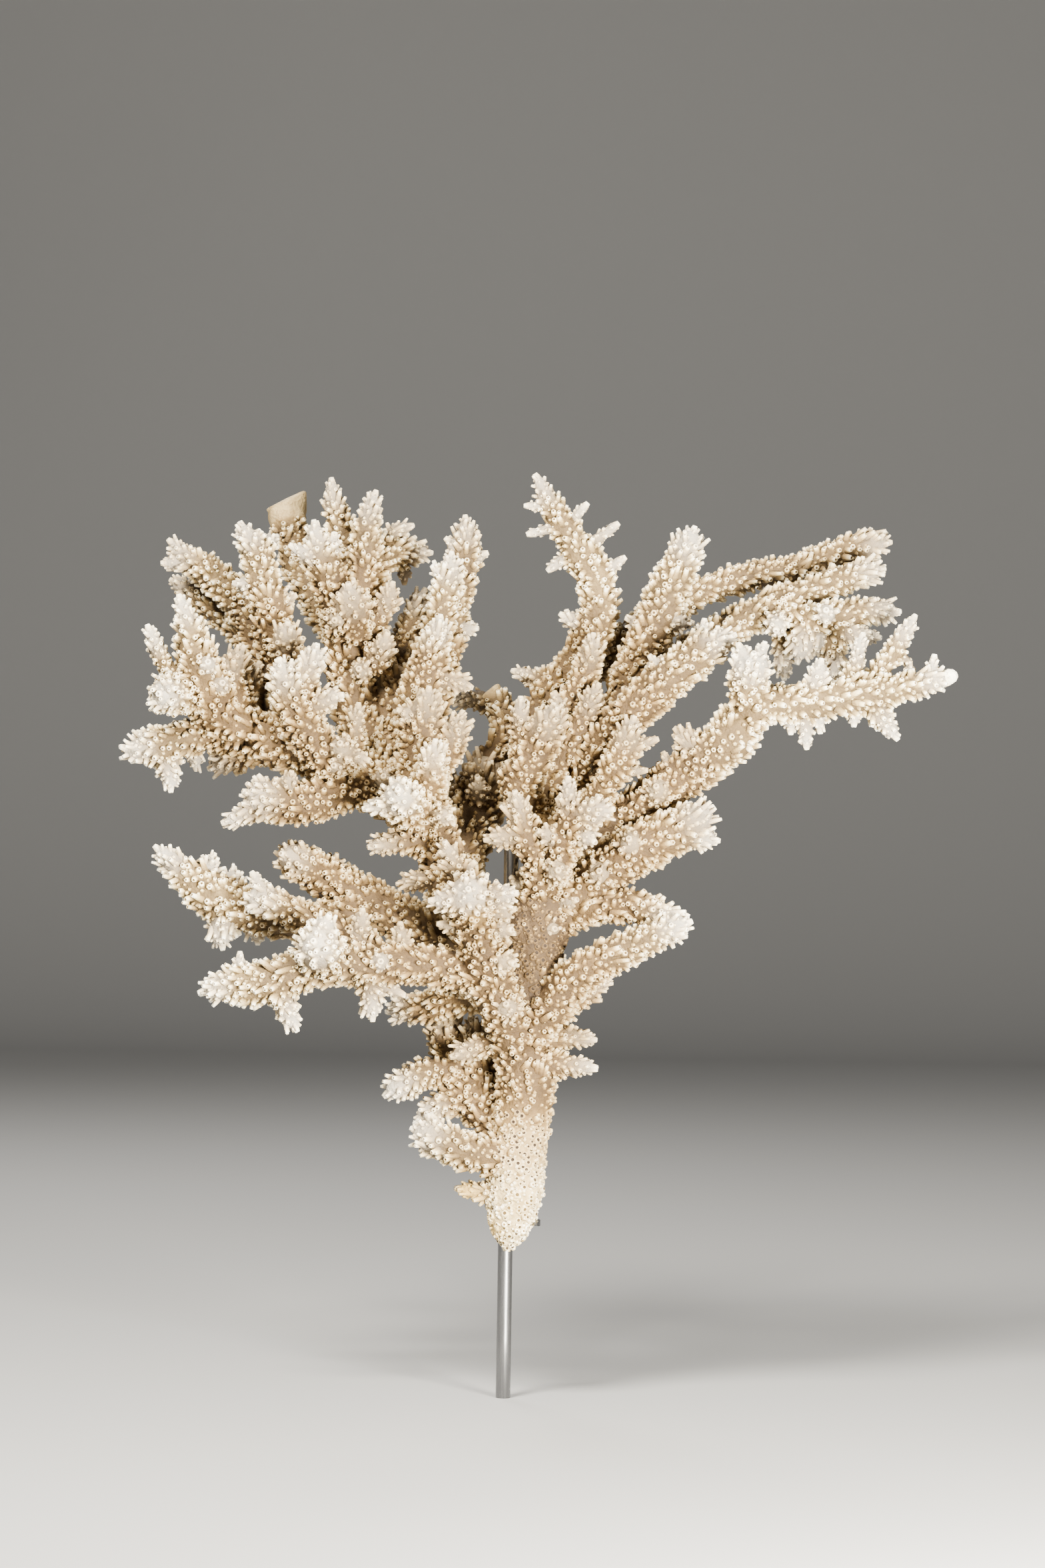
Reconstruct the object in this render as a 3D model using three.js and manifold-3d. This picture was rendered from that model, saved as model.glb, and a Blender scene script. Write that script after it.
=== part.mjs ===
// A branch of staghorn coral held on a steel post, in millimetres, +Z up.
// The origin is the centre of the post's foot, the coral faces -Y, and X runs to its right.
import * as THREE from "three";
import { mergeVertices } from "three/addons/utils/BufferGeometryUtils.js";
import Module from "manifold-3d";

const wasm = await Module();
wasm.setup();

// Driving dimensions
const POST_RADIUS = 2.5;
const POST_HEIGHT = 190;
const POST_SIDES = 24;
const POST_CHAMFER = 0.8;
const PRONG_RADIUS = 1.25;
const PRONG_ARC_STEPS = 3;
const PRONG_STEPS = 14;
const CLIP_UP = 61;
const CLIP_HEIGHT = 1.8;
const CLIP_WALL = 1;
const CLIP_RADIUS = 9;
const CLIP_ACROSS = 1.8;
const CLIP_FROM_DEGREES = -28;
const CLIP_TO_DEGREES = 140;
const CLIP_STEPS = 8;
const GAP = 0.35;

// The coral's surface: cups stand out of each branch in staggered rows and lean towards its tip.
const CUP_HEIGHT = 2.8;
const CUP_SHARE = 0.42;
const CUP_LEAN = 1.2;
const ROW_STEP = 11.5;
const THICK_BRANCH = 7.1;
const TIP_REACH = 1;
const TIP_GROWTH = 3;
const PORE_HEIGHT = 0.7;
const WORN_BELOW = 112;

// Branch points are laid out as they look from this eye point, straight in front of the coral.
// A point that is deeper than the post lies further out along its line of sight.
const EYE_ACROSS = 3.4;
const EYE_UP = 209.2;
const EYE_DISTANCE = 1600;

// Every limb is a list of branches, and every branch a list of [across, up, deep, radius] points, where
// the radius reaches the rims of the cups. The first branch of a limb is its stem, and each other
// branch starts inside an earlier one. A branch of two points is a short twig.
const LIMBS = {
  trunk: [
    [[1, 51, -11, 2.5], [1.3, 55, -12, 6], [1.8, 61, -13, 8.4], [3, 70, -13.5, 10.3], [3.5, 80, -13.5, 10.2],
      [4.5, 90, -14, 10], [5.5, 100, -14.5, 10.5], [6, 110, -15, 11], [5.5, 118, -15, 10.5],
      [5, 124, -15, 9.5]],
    [[-3, 70, -14, 5], [-11, 70.5, -15, 4], [-16.5, 71, -16, 3]],
    [[8, 119, -15, 6], [20, 123, -14, 4.8], [29, 122.5, -13, 3]],
    [[8, 113, -17, 6], [21, 113.5, -20, 4.8], [29.5, 113, -21, 3]],
    [[0, 121, -13, 6], [-10, 119.5, -14, 4.8], [-19, 116, -18, 4.5]],
  ],
  front_stem: [
    [[3, 118, -17, 8], [0, 127, -21, 8.5], [-4, 136, -25, 8.5], [-7, 146, -29, 8.5], [-10, 156, -33, 9],
      [-12, 165, -38, 9], [-14, 171, -44, 9], [-14.5, 173, -51, 5.5]],
    [[-16, 169, -44, 5], [-27, 169, -46, 4]],
    [[-10, 168, -42, 5], [-4, 171, -46, 5], [1.5, 172, -48, 4.2]],
    [[-9, 164.5, -38, 5], [1, 166.5, -42, 4.4]],
    [[-8, 160, -35, 5], [0, 159.5, -43, 4]],
    [[-6, 150, -32, 5], [1, 148, -39, 4]],
    [[0, 131, -24, 5], [-1, 134, -34, 4.5]],
    [[-14, 168, -34, 6], [-20, 174, -28, 5], [-28, 176, -26, 4.5], [-38, 174.5, -24, 4]],
    [[-11, 160, -34, 5], [-24, 161, -35, 3]],
    [[-5, 140, -27, 5], [-16, 138.5, -28, 3]],
  ],
  middle_stem: [
    [[5.5, 116, -14, 8.5], [5.5, 125, -14, 9.5], [6, 135, -13.5, 9.8], [7, 145, -13, 10.3],
      [8.5, 155, -12.5, 10.8], [10.5, 165, -11.5, 11], [12.5, 173, -10, 10.3], [14.5, 178, -8, 9]],
    [[14, 168, -14, 4], [22, 170, -21, 3.5]],
    [[12, 160, -15, 4], [15, 160, -23, 3.4]],
    [[9, 171, -13, 5], [0.5, 177, -14, 3.8]],
  ],
  lower_rear_branch: [
    [[6, 130, -10, 7], [10, 136, 6, 6.5], [11, 145, 22, 6], [10, 154, 36, 5], [9, 160, 45, 3.5]],
    [[11, 147, 24, 5], [17, 152, 34, 3.4]],
  ],
  lower_left_branch: [
    [[0, 81, -15, 6.5], [-11, 83, -20, 7], [-20, 86, -22, 7.5], [-27, 89, -22, 7.3], [-32, 91, -21, 4.6]],
  ],
  left_root_limb: [
    [[1, 86, -13, 6], [-9, 97, -6, 7], [-15, 107, -3, 7.5], [-19, 117, 0, 7.5], [-22, 126, 3, 7.3],
      [-25, 131, 3, 5]],
    [[-6, 96, -6, 7], [-8, 108, -3, 7], [-11, 120, -2, 6.5], [-13, 129, -2, 5]],
    [[-14, 107, -3, 6], [-24, 111, -6, 6], [-32, 108, -10, 6.5], [-38, 105, -13, 6], [-41.5, 102.5, -14, 4]],
    [[-11, 103, -5, 6], [-20, 101, -8, 5.5], [-26, 97, -12, 5.5], [-30, 94, -15, 4.5]],
  ],
  left_front_limb: [
    [[0, 134, -19, 7], [-10, 143, -24, 8], [-22, 146, -26, 8], [-35, 147, -28, 7.5], [-48, 147, -30, 7.5],
      [-60, 146.5, -33, 8], [-70, 145, -33, 8], [-80, 141, -33, 8], [-90, 139.5, -32, 8],
      [-98, 138.5, -32, 6.5], [-105, 136.5, -32, 3.4]],
    [[-61, 148, -35, 8], [-65, 152, -44, 9.5], [-67, 154.5, -53, 6]],
    [[-65, 156, -44, 5], [-62, 163, -48, 3.5]],
    [[-52, 150, -28, 5.5], [-51, 158, -28, 4.5], [-50.5, 165, -29, 3]],
    [[-37, 151, -27, 5], [-37.5, 160.5, -26, 3]],
    [[-44, 148, -32, 4], [-44, 148, -39, 3.6]],
    [[-79, 139, -33, 6], [-76, 131, -34, 4.8], [-72.5, 124.5, -35, 3.6]],
    [[-47, 144, -30, 6], [-47, 136, -31, 4.8], [-46.5, 128.5, -32, 3.8]],
    [[-46, 141, -31, 3], [-36.5, 137, -30, 2.4]],
    [[-92, 142, -32, 4], [-92, 149.5, -31, 2]],
    [[0, 138, -15, 6], [-16, 136, -10, 6.5], [-26, 133, -5, 6.5], [-34, 132, 0, 6], [-41, 131, 3, 4.5]],
  ],
  left_shaded_limb: [
    [[3, 142, -10, 8], [-10, 148, -5, 9], [-22, 154, -2, 9], [-34, 161, 0, 9], [-46, 167, 2, 9],
      [-57, 173, 2, 8.5], [-66, 178, -3, 8], [-73, 182, -9, 7.5], [-78, 184, -15, 5.5]],
    [[-62, 178, 2, 5], [-60, 183, 8, 3.5]],
  ],
  left_rear_branch: [
    [[-46, 167, 4, 7.5], [-46, 166, 18, 6.5], [-48, 166, 31, 5.5], [-50, 168, 41, 3.5]],
  ],
  left_hook_limb: [
    [[-48, 166, -4, 7.5], [-60, 162, -8, 7.5], [-76, 162, -10, 8], [-86, 164, -9, 8.5], [-96, 167, -10, 9],
      [-104, 171, -12, 8.5], [-110, 176, -14, 7], [-116, 181, -15, 5.3], [-121, 185.5, -16, 2.6]],
    [[-97, 164, -10, 6.5], [-98.5, 158, -12, 5.5], [-98, 152, -13, 4.6]],
    [[-86, 160, -9, 5], [-86, 154, -9, 4]],
    [[-104, 176, -11, 5], [-101.5, 183, -9, 3.2]],
    [[-95, 172, -8, 5], [-94.5, 178.5, -6, 4]],
    [[-87, 168, -8, 4], [-87, 176, -7, 3]],
  ],
  left_hook_front: [
    [[-44, 150, -26, 6], [-56, 157, -23, 6], [-66, 161, -22, 6], [-76, 165, -23, 6], [-84, 168, -25, 6],
      [-90, 169.5, -27, 4.8]],
    [[-84, 170, -25, 3.5], [-88, 177, -25, 2.4]],
  ],
  back_stem: [
    [[-10, 148, -4, 8], [-18, 162, 6, 9], [-20, 175, 12, 10], [-17, 188, 16, 10.5], [-13, 200, 19, 10.5],
      [-10, 211, 21, 9], [-9.5, 219, 23, 6.5]],
    [[-11, 203, 12, 5], [-12, 211, 4, 4]],
  ],
  centre_rear_branch: [
    [[-16, 192, 20, 7.5], [-18, 197, 32, 6.8], [-21, 205, 44, 6], [-22, 212, 55, 4]],
    [[-19, 199, 34, 5], [-29, 203, 42, 3.4]],
  ],
  back_arch: [
    [[-10, 213, 22, 6.5], [-4, 222, 27, 6], [-2.5, 229, 31, 6], [-4, 235, 34, 5.5], [-8, 240, 36, 5]],
    [[-6, 236, 34, 5], [-14, 238, 36, 4], [-21, 237, 36, 3.2]],
  ],
  front_left_stem: [
    [[-10, 158, -31, 7.5], [-14, 167, -29, 8], [-20, 178, -24, 8], [-26, 190, -18, 9], [-30, 202, -13, 9],
      [-31, 214, -9, 9], [-31, 226, -8, 8], [-30, 234, -9, 7], [-29, 241, -10, 4]],
    [[-32, 230, -9, 4.5], [-39, 233.5, -12, 3.2]],
    [[-18, 173, -27, 6], [-20, 181, -34, 5], [-22.5, 188.5, -37, 3.6]],
    [[-18, 178, -30, 3.5], [-13, 182, -32, 2.4]],
    [[-24, 186, -20, 6], [-33, 189, -24, 5], [-41, 188.5, -27, 4.8], [-48, 187, -29, 3.6]],
    [[-29, 196, -17, 8], [-35, 200, -28, 8], [-38, 204, -38, 7.5], [-39, 206.5, -44, 4.6]],
    [[-40, 202, -36, 5], [-50, 200, -37, 2.6]],
    [[-28, 198, -24, 5], [-21, 197.5, -34, 4]],
    [[-29, 204, -17, 7], [-28, 212, -24, 6], [-27, 218, -27, 5.3], [-26.5, 223, -28, 3.2]],
    [[-28, 211, -8, 6.5], [-23, 218, -6, 6], [-20, 226, -6, 6.2], [-17.5, 233, -6, 4]],
  ],
  left_spire: [
    [[-30, 220, -5, 8], [-33, 233, 0, 8], [-31, 243, 0, 7.5], [-28, 253, -1, 6.8], [-26, 261, -2, 5],
      [-25.5, 265.5, -2, 3]],
    [[-28, 244, -1, 5.5], [-20, 243.5, -1, 4.5], [-15, 242, -1, 3.3]],
    [[-32, 236, 3, 7], [-30, 250, 8, 6.5], [-26, 263, 9, 6.3], [-24, 273, 9, 6], [-22.5, 281, 9, 5.2],
      [-22, 287, 9, 2.8]],
    [[-23, 277, 8, 3], [-28, 282.5, 7, 2]],
  ],
  rear_spire: [
    [[-29, 232, 8, 7], [-26, 242, 18, 6.8], [-23, 255, 26, 6.5], [-21, 268, 30, 6.5], [-18.5, 280, 32, 6.3],
      [-17, 291, 33, 6], [-17.5, 299.5, 33, 2.8]],
    [[-17, 285, 32, 4], [-10.5, 287.5, 31, 2.6]],
    [[-19, 288, 32, 4], [-23.5, 292, 31, 2.4]],
    [[-20, 262, 28, 4], [-13.5, 262, 26, 3]],
    [[-27, 236, 14, 7], [-36, 243, 32, 7.3], [-37, 255, 40, 7], [-34, 266, 44, 6], [-31, 274.5, 45, 3.5]],
  ],
  left_high_limb: [
    [[-18, 190, 10, 9], [-30, 198, 9, 9.7], [-43, 206, 8, 10], [-56, 213, 6, 10], [-68, 218, 4, 9.5],
      [-80, 222, 2, 9.5], [-91, 226, 0, 9]],
    [[-57, 215, -3, 6], [-58, 219, -12, 5.8], [-59, 222, -20, 4.5]],
    [[-56, 218, -12, 4], [-49.5, 216.5, -15, 3]],
    [[-60, 215, -6, 5], [-61, 214.5, -16, 3.4]],
    [[-44, 209, 2, 5], [-44, 211, -7, 4]],
    [[-55, 219, 2, 6], [-54, 228, 0, 4], [-53, 235, 0, 3]],
    [[-85, 221, 5, 7], [-96, 216, 8, 5.8], [-103, 213, 9, 4]],
  ],
  left_high_rear_branch: [
    [[-58, 213, 8, 7.5], [-62, 210, 21, 6.5], [-66, 207, 34, 6], [-70, 206, 45, 4]],
  ],
  left_high_front: [
    [[-46, 207, 3, 7.5], [-56, 206, -3, 7.8], [-64, 203, -9, 8], [-74, 201.5, -14, 8], [-84, 203, -18, 8],
      [-91, 205, -21, 6]],
    [[-84, 200, -18, 5], [-98, 194.5, -20, 3.4]],
    [[-77, 205, -18, 4.5], [-75.5, 211.5, -20, 3.2]],
  ],
  left_outer_tip: [
    [[-89, 225, 0, 8], [-100, 232, -4, 9], [-104, 240, -8, 9], [-108, 250, -12, 8], [-111, 260, -14, 6],
      [-114.5, 271, -15, 2.8]],
    [[-94, 231, -1, 8], [-96, 242, -4, 7.3], [-95, 249, -6, 6], [-92.5, 254, -6, 3.2]],
    [[-91, 240, 1, 5], [-87, 248.5, 4, 3]],
    [[-101, 241, -10, 4.5], [-99.5, 242, -18, 4]],
    [[-105, 247, -13, 4.5], [-104.5, 249, -21, 3.4]],
  ],
  left_outer_front: [
    [[-103, 236, -7, 7.5], [-112, 238, -10, 7.5], [-118, 238, -18, 7.5], [-121, 238, -26, 5]],
    [[-114, 240, -10, 5.5], [-119, 248, -8, 4], [-122.5, 254.5, -8, 3.8], [-125, 260.5, -8, 2.5]],
  ],
  left_outer_low: [
    [[-90, 224, 3, 7.5], [-104, 225, 2, 7], [-114, 222.5, -2, 7], [-123, 219.5, -4, 6.8],
      [-129, 218.5, -5, 5.3], [-133, 219.5, -6, 3]],
    [[-117, 219, -3, 5.5], [-117, 211, -4, 4.5], [-116.5, 205.5, -5, 3]],
    [[-109, 221, 4, 4], [-108, 213, 8, 3]],
    [[-122, 222, -4, 3], [-127.5, 224.5, -4, 2.4]],
  ],
  left_fan: [
    [[-69, 218, 6, 8.5], [-78, 232, 13, 9], [-83, 245, 20, 8.5], [-86, 256, 24, 8], [-92, 267, 26, 7],
      [-100, 276, 27, 7], [-107, 281.5, 27, 6.5], [-113, 285.5, 27, 5], [-118, 290, 27, 2.6]],
    [[-111, 282.5, 27, 3.5], [-120, 282.5, 26, 2.6]],
    [[-86, 254, 27, 7.5], [-95, 262, 36, 6.5], [-104, 268.5, 40, 6.3], [-111, 273, 42, 5.5],
      [-117, 276.5, 43, 3.2]],
  ],
  left_fan_inner: [
    [[-80, 240, 17, 7.5], [-80.5, 250, 11, 7.5], [-82, 260, 7, 7.5], [-83.5, 269, 6, 7.3], [-86, 277, 5, 7],
      [-88, 285, 5, 6.6], [-91, 291, 6, 5.3], [-94, 296, 7, 3]],
    [[-87, 275, 5, 4], [-95.5, 276, 5, 3.2]],
    [[-82, 269, 5, 4], [-75.5, 272, 5, 3.2]],
    [[-88, 287, 7, 4], [-82, 292, 13, 3.4]],
    [[-77, 243, 8, 6.5], [-77, 252, 1, 6.8], [-78, 258, -4, 6.3], [-77.5, 262.5, -6, 4.5]],
  ],
  left_fan_front: [
    [[-58, 211, 0, 8], [-66, 219, -10, 8], [-71, 227, -16, 8], [-75, 235, -20, 7.8], [-78, 243, -23, 7],
      [-80, 250, -25, 4.3]],
    [[-74, 237, -19, 6.5], [-70, 247, -20, 5.6], [-67.5, 255, -21, 3.4]],
    [[-70, 232, -18, 6], [-64, 237, -20, 4.6], [-59, 238.5, -21, 3]],
  ],
  crown_stem: [
    [[-42, 205, 10, 9], [-48, 220, 20, 10], [-53, 234, 24, 10], [-56, 247, 26, 9.5], [-57, 258, 26, 9],
      [-57, 264, 26, 8]],
    [[-44, 212, 14, 8], [-41, 226, 22, 8.5], [-41, 239, 26, 8.5], [-44, 250, 27, 7]],
    [[-55, 258, 20, 7.5], [-56, 270, 8, 7], [-57, 276, 4, 5]],
    [[-52, 255, 21, 7], [-47, 264, 16, 5], [-43.5, 271, 14, 4.8], [-42, 276.5, 14, 3]],
    [[-48, 247, 20, 6.5], [-45, 255, 12, 5.3], [-43.5, 259.5, 9, 3.4]],
    [[-52, 246, 18, 5], [-53, 247.5, 9, 3.4]],
  ],
  crown_rear_branch: [
    [[-53, 240, 28, 7.5], [-52, 244, 42, 6.5], [-54, 250, 54, 5.5], [-55, 256, 62, 3.5]],
    [[-54, 250, 50, 4.5], [-63, 253, 56, 3.2]],
  ],
  crown_front: [
    [[-58, 257, 22, 7.5], [-60, 268, 17, 7.8], [-63, 277, 12, 7.3], [-66, 284, 8, 6.8], [-68, 291, 7, 4.8],
      [-69, 297, 7, 2.6]],
    [[-67, 283, 6, 4], [-76.5, 289, 3, 2.4]],
    [[-64, 285, 8, 4.5], [-62, 293, 8, 3]],
    [[-60, 265, 14, 6], [-61.5, 264, 5, 4.6]],
  ],
  crown_left: [
    [[-57, 258, 28, 7], [-56, 275, 30, 7], [-58, 287, 31, 6.5], [-60.5, 297, 31, 5.8], [-62.5, 305, 31, 4.5],
      [-63.3, 311.5, 31, 2.5]],
  ],
  crown_right: [
    [[-54, 259, 24, 7], [-52.5, 274, 22, 7], [-51.5, 285, 21, 6.8], [-51, 294, 20, 6], [-50, 301, 20, 4.8],
      [-48.3, 307.5, 20, 2.5]],
    [[-53, 266, 18, 5], [-51.5, 265.5, 9, 4]],
  ],
  crown_far_right: [
    [[-52, 272, 25, 7], [-48, 282, 30, 6.6], [-43, 286.5, 34, 6.5], [-37, 287.5, 38, 6],
      [-29.5, 287.5, 40, 3]],
    [[-48, 284, 31, 5], [-42, 294, 38, 4], [-36, 296.5, 40, 3]],
    [[-38, 283, 38, 3.5], [-38, 277.5, 39, 2.4]],
  ],
  crown_broken: [
    [[-57, 256, 31, 7], [-66, 268, 47, 7], [-73, 280, 57, 7], [-76, 290, 61, 7], [-78, 298, 64, 7.8],
      [-78.5, 304.5, 65, 8]],
  ],
  upper_stem: [
    [[14, 172, -8, 8.5], [13, 186, -1, 9], [10, 198, 4, 9.5], [9, 209, 7, 9], [8, 216, 10, 8]],
  ],
  centre_front_branch: [
    [[8, 198, 0, 7], [2, 208, -9, 7.5], [7, 218, -12, 7.5], [10, 226, -14, 7.3], [12.5, 232, -15, 6],
      [13.5, 236, -15, 3.5]],
    [[5, 216, -11, 6], [3, 226, -11, 4.5], [2.5, 233, -12, 4.2], [2.3, 238, -12, 2.6]],
    [[11, 224, -12, 6], [14, 229, -8, 4.8], [15, 235, -6, 4], [14, 240, -5, 2.8]],
  ],
  centre_spire: [
    [[9, 206, 3, 7], [13, 214, 1, 6.5], [19, 222, -3, 5.6], [24, 231, -5, 5.2], [27, 238, -6, 5],
      [28.7, 243, -6, 3]],
    [[12, 214, 2, 6], [16, 229, 3, 6], [20, 238, 3, 5.8], [24, 246, 2, 5.7], [26, 254, 1, 5.2],
      [26.7, 260, 1, 3]],
  ],
  tall_spire: [
    [[9, 207, 7, 8], [6, 222, 14, 7.5], [9, 233, 18, 7.5], [15, 242, 19, 8], [21, 250, 18, 8],
      [26, 259, 16, 7.8], [28.5, 268, 14, 7.5], [28, 277, 13, 7.3], [24, 285, 12, 7], [19.5, 292, 11, 6.5],
      [15.5, 298, 10, 5.5], [12, 304, 10, 4.8], [9, 309.5, 10, 3.8], [6.5, 314, 10, 2]],
    [[11, 304, 10, 2.4], [3.5, 304, 10, 1.6]],
    [[14, 297, 10, 2.6], [4.5, 294.5, 9, 1.9]],
    [[22, 287, 12, 4], [15, 285, 12, 2.8], [11.5, 282.5, 12, 2.2]],
    [[18, 298, 10, 2.6], [23.5, 304.5, 9, 1.9]],
    [[24, 290, 11, 3], [34, 298, 10, 2.2]],
    [[29, 281, 12, 3], [36.5, 286.5, 11, 1.8]],
    [[23, 263, 15, 4], [16, 267, 14, 3.2]],
    [[13, 242, 21, 6], [6, 245.5, 26, 4], [0, 247.5, 28, 2.8]],
  ],
  spire_rear_branch: [
    [[9, 230, 20, 7], [6, 230, 33, 6], [4, 232, 46, 4]],
  ],
  right_upper_limb: [
    [[12, 192, 1, 8], [20, 204, 4, 9], [28, 217, 6, 9], [35, 230, 6, 9], [40, 241, 5, 8.5], [43, 252, 4, 8.5],
      [47, 263, 2, 8], [51, 273, 0, 8], [55, 283, -2, 7.5], [58.5, 291, -4, 6.5], [60.5, 297, -5, 4]],
    [[50, 266, 0, 5], [60, 265, -2, 4]],
    [[45, 264, 2, 4], [38.5, 266, 2, 3.2]],
    [[40, 245, 5, 5], [33, 248, 4, 4]],
  ],
  right_upper_rear_branch: [
    [[42, 250, 6, 7.5], [46, 247, 20, 6.5], [50, 246, 34, 6], [54, 248, 45, 4]],
  ],
  right_upper_front: [
    [[24, 210, 3, 7], [33, 226, -8, 7.5], [41, 235, -13, 8], [50, 243, -16, 8], [58, 250, -18, 8],
      [65, 255.5, -19, 7.3], [71, 259.5, -19, 5.5], [74.5, 261, -19, 3]],
    [[52, 246, -16, 4], [46.5, 253, -17, 3]],
    [[64, 257, -19, 3.5], [64.5, 265.5, -19, 2.2]],
  ],
  right_slim_branch: [
    [[19, 200, 0, 5.5], [26, 203, -8, 5.5], [31, 208, -14, 5.5], [35, 216, -18, 6], [38.5, 225, -21, 5.8],
      [41, 232, -22, 3.3]],
    [[39, 222, -20, 3], [48.5, 225, -20, 2.4]],
    [[35, 214, -17, 3], [45, 214.5, -18, 2.6]],
  ],
  right_top_limb: [
    [[13, 240, 20, 7], [22, 246, 28, 7.5], [33, 254, 32, 7.5], [45, 264, 35, 7], [57, 272, 36, 6.5],
      [68, 277.5, 37, 6], [80, 281, 38, 6], [92, 283, 39, 6], [103, 286.5, 40, 6.3], [113, 290.5, 40, 6.5],
      [121, 293, 40, 6], [127, 293.5, 40, 3.8]],
  ],
  right_second_limb: [
    [[42, 240, 8, 7.5], [56, 252, 18, 7.5], [66, 258.5, 20, 7.5], [76, 265, 21, 7], [87, 270.5, 22, 6.8],
      [98, 275, 22, 6.5], [109, 279.5, 22, 6.2], [118, 283, 22, 5.8], [125, 284.5, 22, 4.5]],
  ],
  right_third_limb: [
    [[89, 271, 21, 6], [100, 267, 15, 6], [109, 268, 12, 6], [119, 270, 12, 5.3], [126, 270, 13, 5],
      [130.5, 270, 13, 3.5]],
    [[100, 266, 14, 6], [98, 259, 13, 6.5], [96.5, 252.5, 13, 4]],
    [[104, 265, 13, 5], [104, 255, 14, 3.8]],
    [[107, 266, 12, 6], [116, 262, 10, 4.5], [124, 261, 9, 3]],
    [[109, 264, 13, 5.5], [109, 253, 13, 4.6], [110, 246, 9, 3.8]],
    [[106, 268, 9, 5], [106, 270, 2, 4]],
    [[90, 268, 18, 5], [89, 263, 5, 4.4]],
    [[90, 268, 20, 4.5], [91.5, 256, 19, 4.4], [92, 247, 18, 3.6]],
  ],
  right_reaching_limb: [
    [[19, 181, -3, 7.5], [32, 192, -6, 8], [44, 202, -9, 8.5], [56, 211, -13, 8.5], [66, 218.5, -17, 8.8],
      [74, 226, -21, 9], [79, 234, -22, 8]],
    [[76, 227, -22, 7], [80.5, 222.5, -25, 5]],
    [[50, 206, -13, 6], [49, 209, -23, 4.5]],
    [[63, 219, -17, 6], [60, 224, -18, 5.5], [55.5, 228.5, -18, 4]],
    [[55, 213, -14, 4], [51.5, 220, -14, 2.8]],
  ],
  right_rear_branch: [
    [[50, 207, -6, 7.5], [52, 205, 8, 6.5], [54, 204, 22, 6], [56, 205, 33, 4]],
  ],
  right_reaching_tip: [
    [[75, 231, -21, 7], [86, 238, -22, 7], [98, 239, -21, 7], [110, 240, -20, 6.8], [121, 242, -19, 6.3],
      [132, 244, -18, 5.5], [141, 246, -17, 5], [148, 248, -16, 4.2]],
    [[79, 236, -24, 7], [80, 246, -28, 8], [81, 251, -31, 7.5], [81.5, 254.5, -34, 5]],
    [[79, 252, -31, 3], [76.5, 257.5, -31, 2]],
    [[83, 252, -31, 3], [85, 258, -31, 2]],
    [[102, 241, -22, 4.8], [103.5, 248, -23, 4], [104.5, 252.5, -23, 2.8]],
    [[99, 236, -20, 4], [100, 223.5, -20, 2.4]],
    [[94, 235, -20, 3], [94.5, 228.5, -20, 2]],
    [[104, 236, -20, 3], [104.5, 229, -20, 2]],
    [[116, 238, -19, 3], [116, 231.5, -19, 2.2]],
    [[121, 240, -18, 5], [126, 233, -18, 4.6], [130.5, 227, -18, 2.8]],
    [[114, 243, -17, 5], [116.5, 253, -16, 3.8], [118.5, 261.5, -16, 2.6]],
    [[121, 243, -16, 5], [127, 253, -12, 4.3], [132, 261, -11, 4], [136, 268, -10, 2.6]],
    [[131, 255, -11, 2.4], [134.5, 252.5, -11, 1.8], [134.5, 245.5, -15, 1.8]],
    [[142, 247, -17, 2.4], [143, 254.5, -17, 1.8]],
  ],
  right_wide_limb: [
    [[12, 170, -11, 8.5], [22, 172, -13, 9], [32, 180, -16, 9.5], [42, 187, -20, 9.5], [52, 192, -22, 9],
      [61, 197, -24, 7.5], [68, 202, -24, 4.6]],
    [[60, 192, -23, 5], [70, 191, -24, 4]],
    [[41, 188, -22, 6], [40, 191, -31, 4.2]],
    [[30, 179, -18, 6], [30, 180, -27, 4.2]],
  ],
  right_inner_limb: [
    [[12, 160, -11, 6.5], [22, 165, -14, 6], [32, 168, -18, 6.5], [42, 168, -22, 6.5], [52, 165, -26, 6],
      [59, 162, -28, 4]],
  ],
  right_low_limb: [
    [[6, 122, -16, 7.5], [13, 131, -20, 7.5], [19, 140, -23, 7.5], [27, 147, -26, 7.5], [37, 152, -28, 7],
      [47, 157, -30, 6.5], [56, 161, -31, 5.5], [61, 163, -31, 3.5]],
    [[9, 127, -12, 6], [20, 134, -6, 6], [28, 140, -5, 5], [34, 145, -4, 3.6]],
  ],
  star_branch: [
    [[13, 171, -13, 6.5], [15, 181, -22, 6], [18, 189, -27, 6.5], [22, 196, -31, 6.5], [28, 200, -34, 6],
      [34, 201, -36, 3.6]],
    [[19, 196, -30, 5], [19, 204, -32, 4], [19, 211, -32, 2.6]],
    [[17, 190, -28, 5], [9.5, 193, -32, 3.4]],
    [[15, 179, -23, 5], [16, 180, -33, 4.4]],
    [[23, 193, -32, 4.5], [28, 190, -38, 3.6]],
  ],
  front_centre_branch: [
    [[11, 168, -14, 6], [8.5, 178, -20, 5.6], [7.5, 187, -24, 5.8], [3, 198, -27, 5.8], [1, 206, -29, 4]],
    [[5, 190, -25, 5.5], [-2, 191, -27, 4.8], [-8.5, 190, -28, 3.4]],
  ],
};

// The route of the thin rod, as points of the same kind without a radius.
const PRONG_ROUTE = [
  [0, 150, 2],
  [1, 160, 8],
  [6, 174, 15],
  [15, 188, 18],
  [23, 200, 14],
  [26.5, 209, 3],
  [26.8, 214, -5],
  [26.8, 219, -7.5],
];

// Limbs whose stem ends in a flat break in place of a growing tip.
const BROKEN = ["crown_broken", "back_arch"];

const COLOURS = { coral: 0xe9dcc6, steel: 0x4a4c4f };

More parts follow.
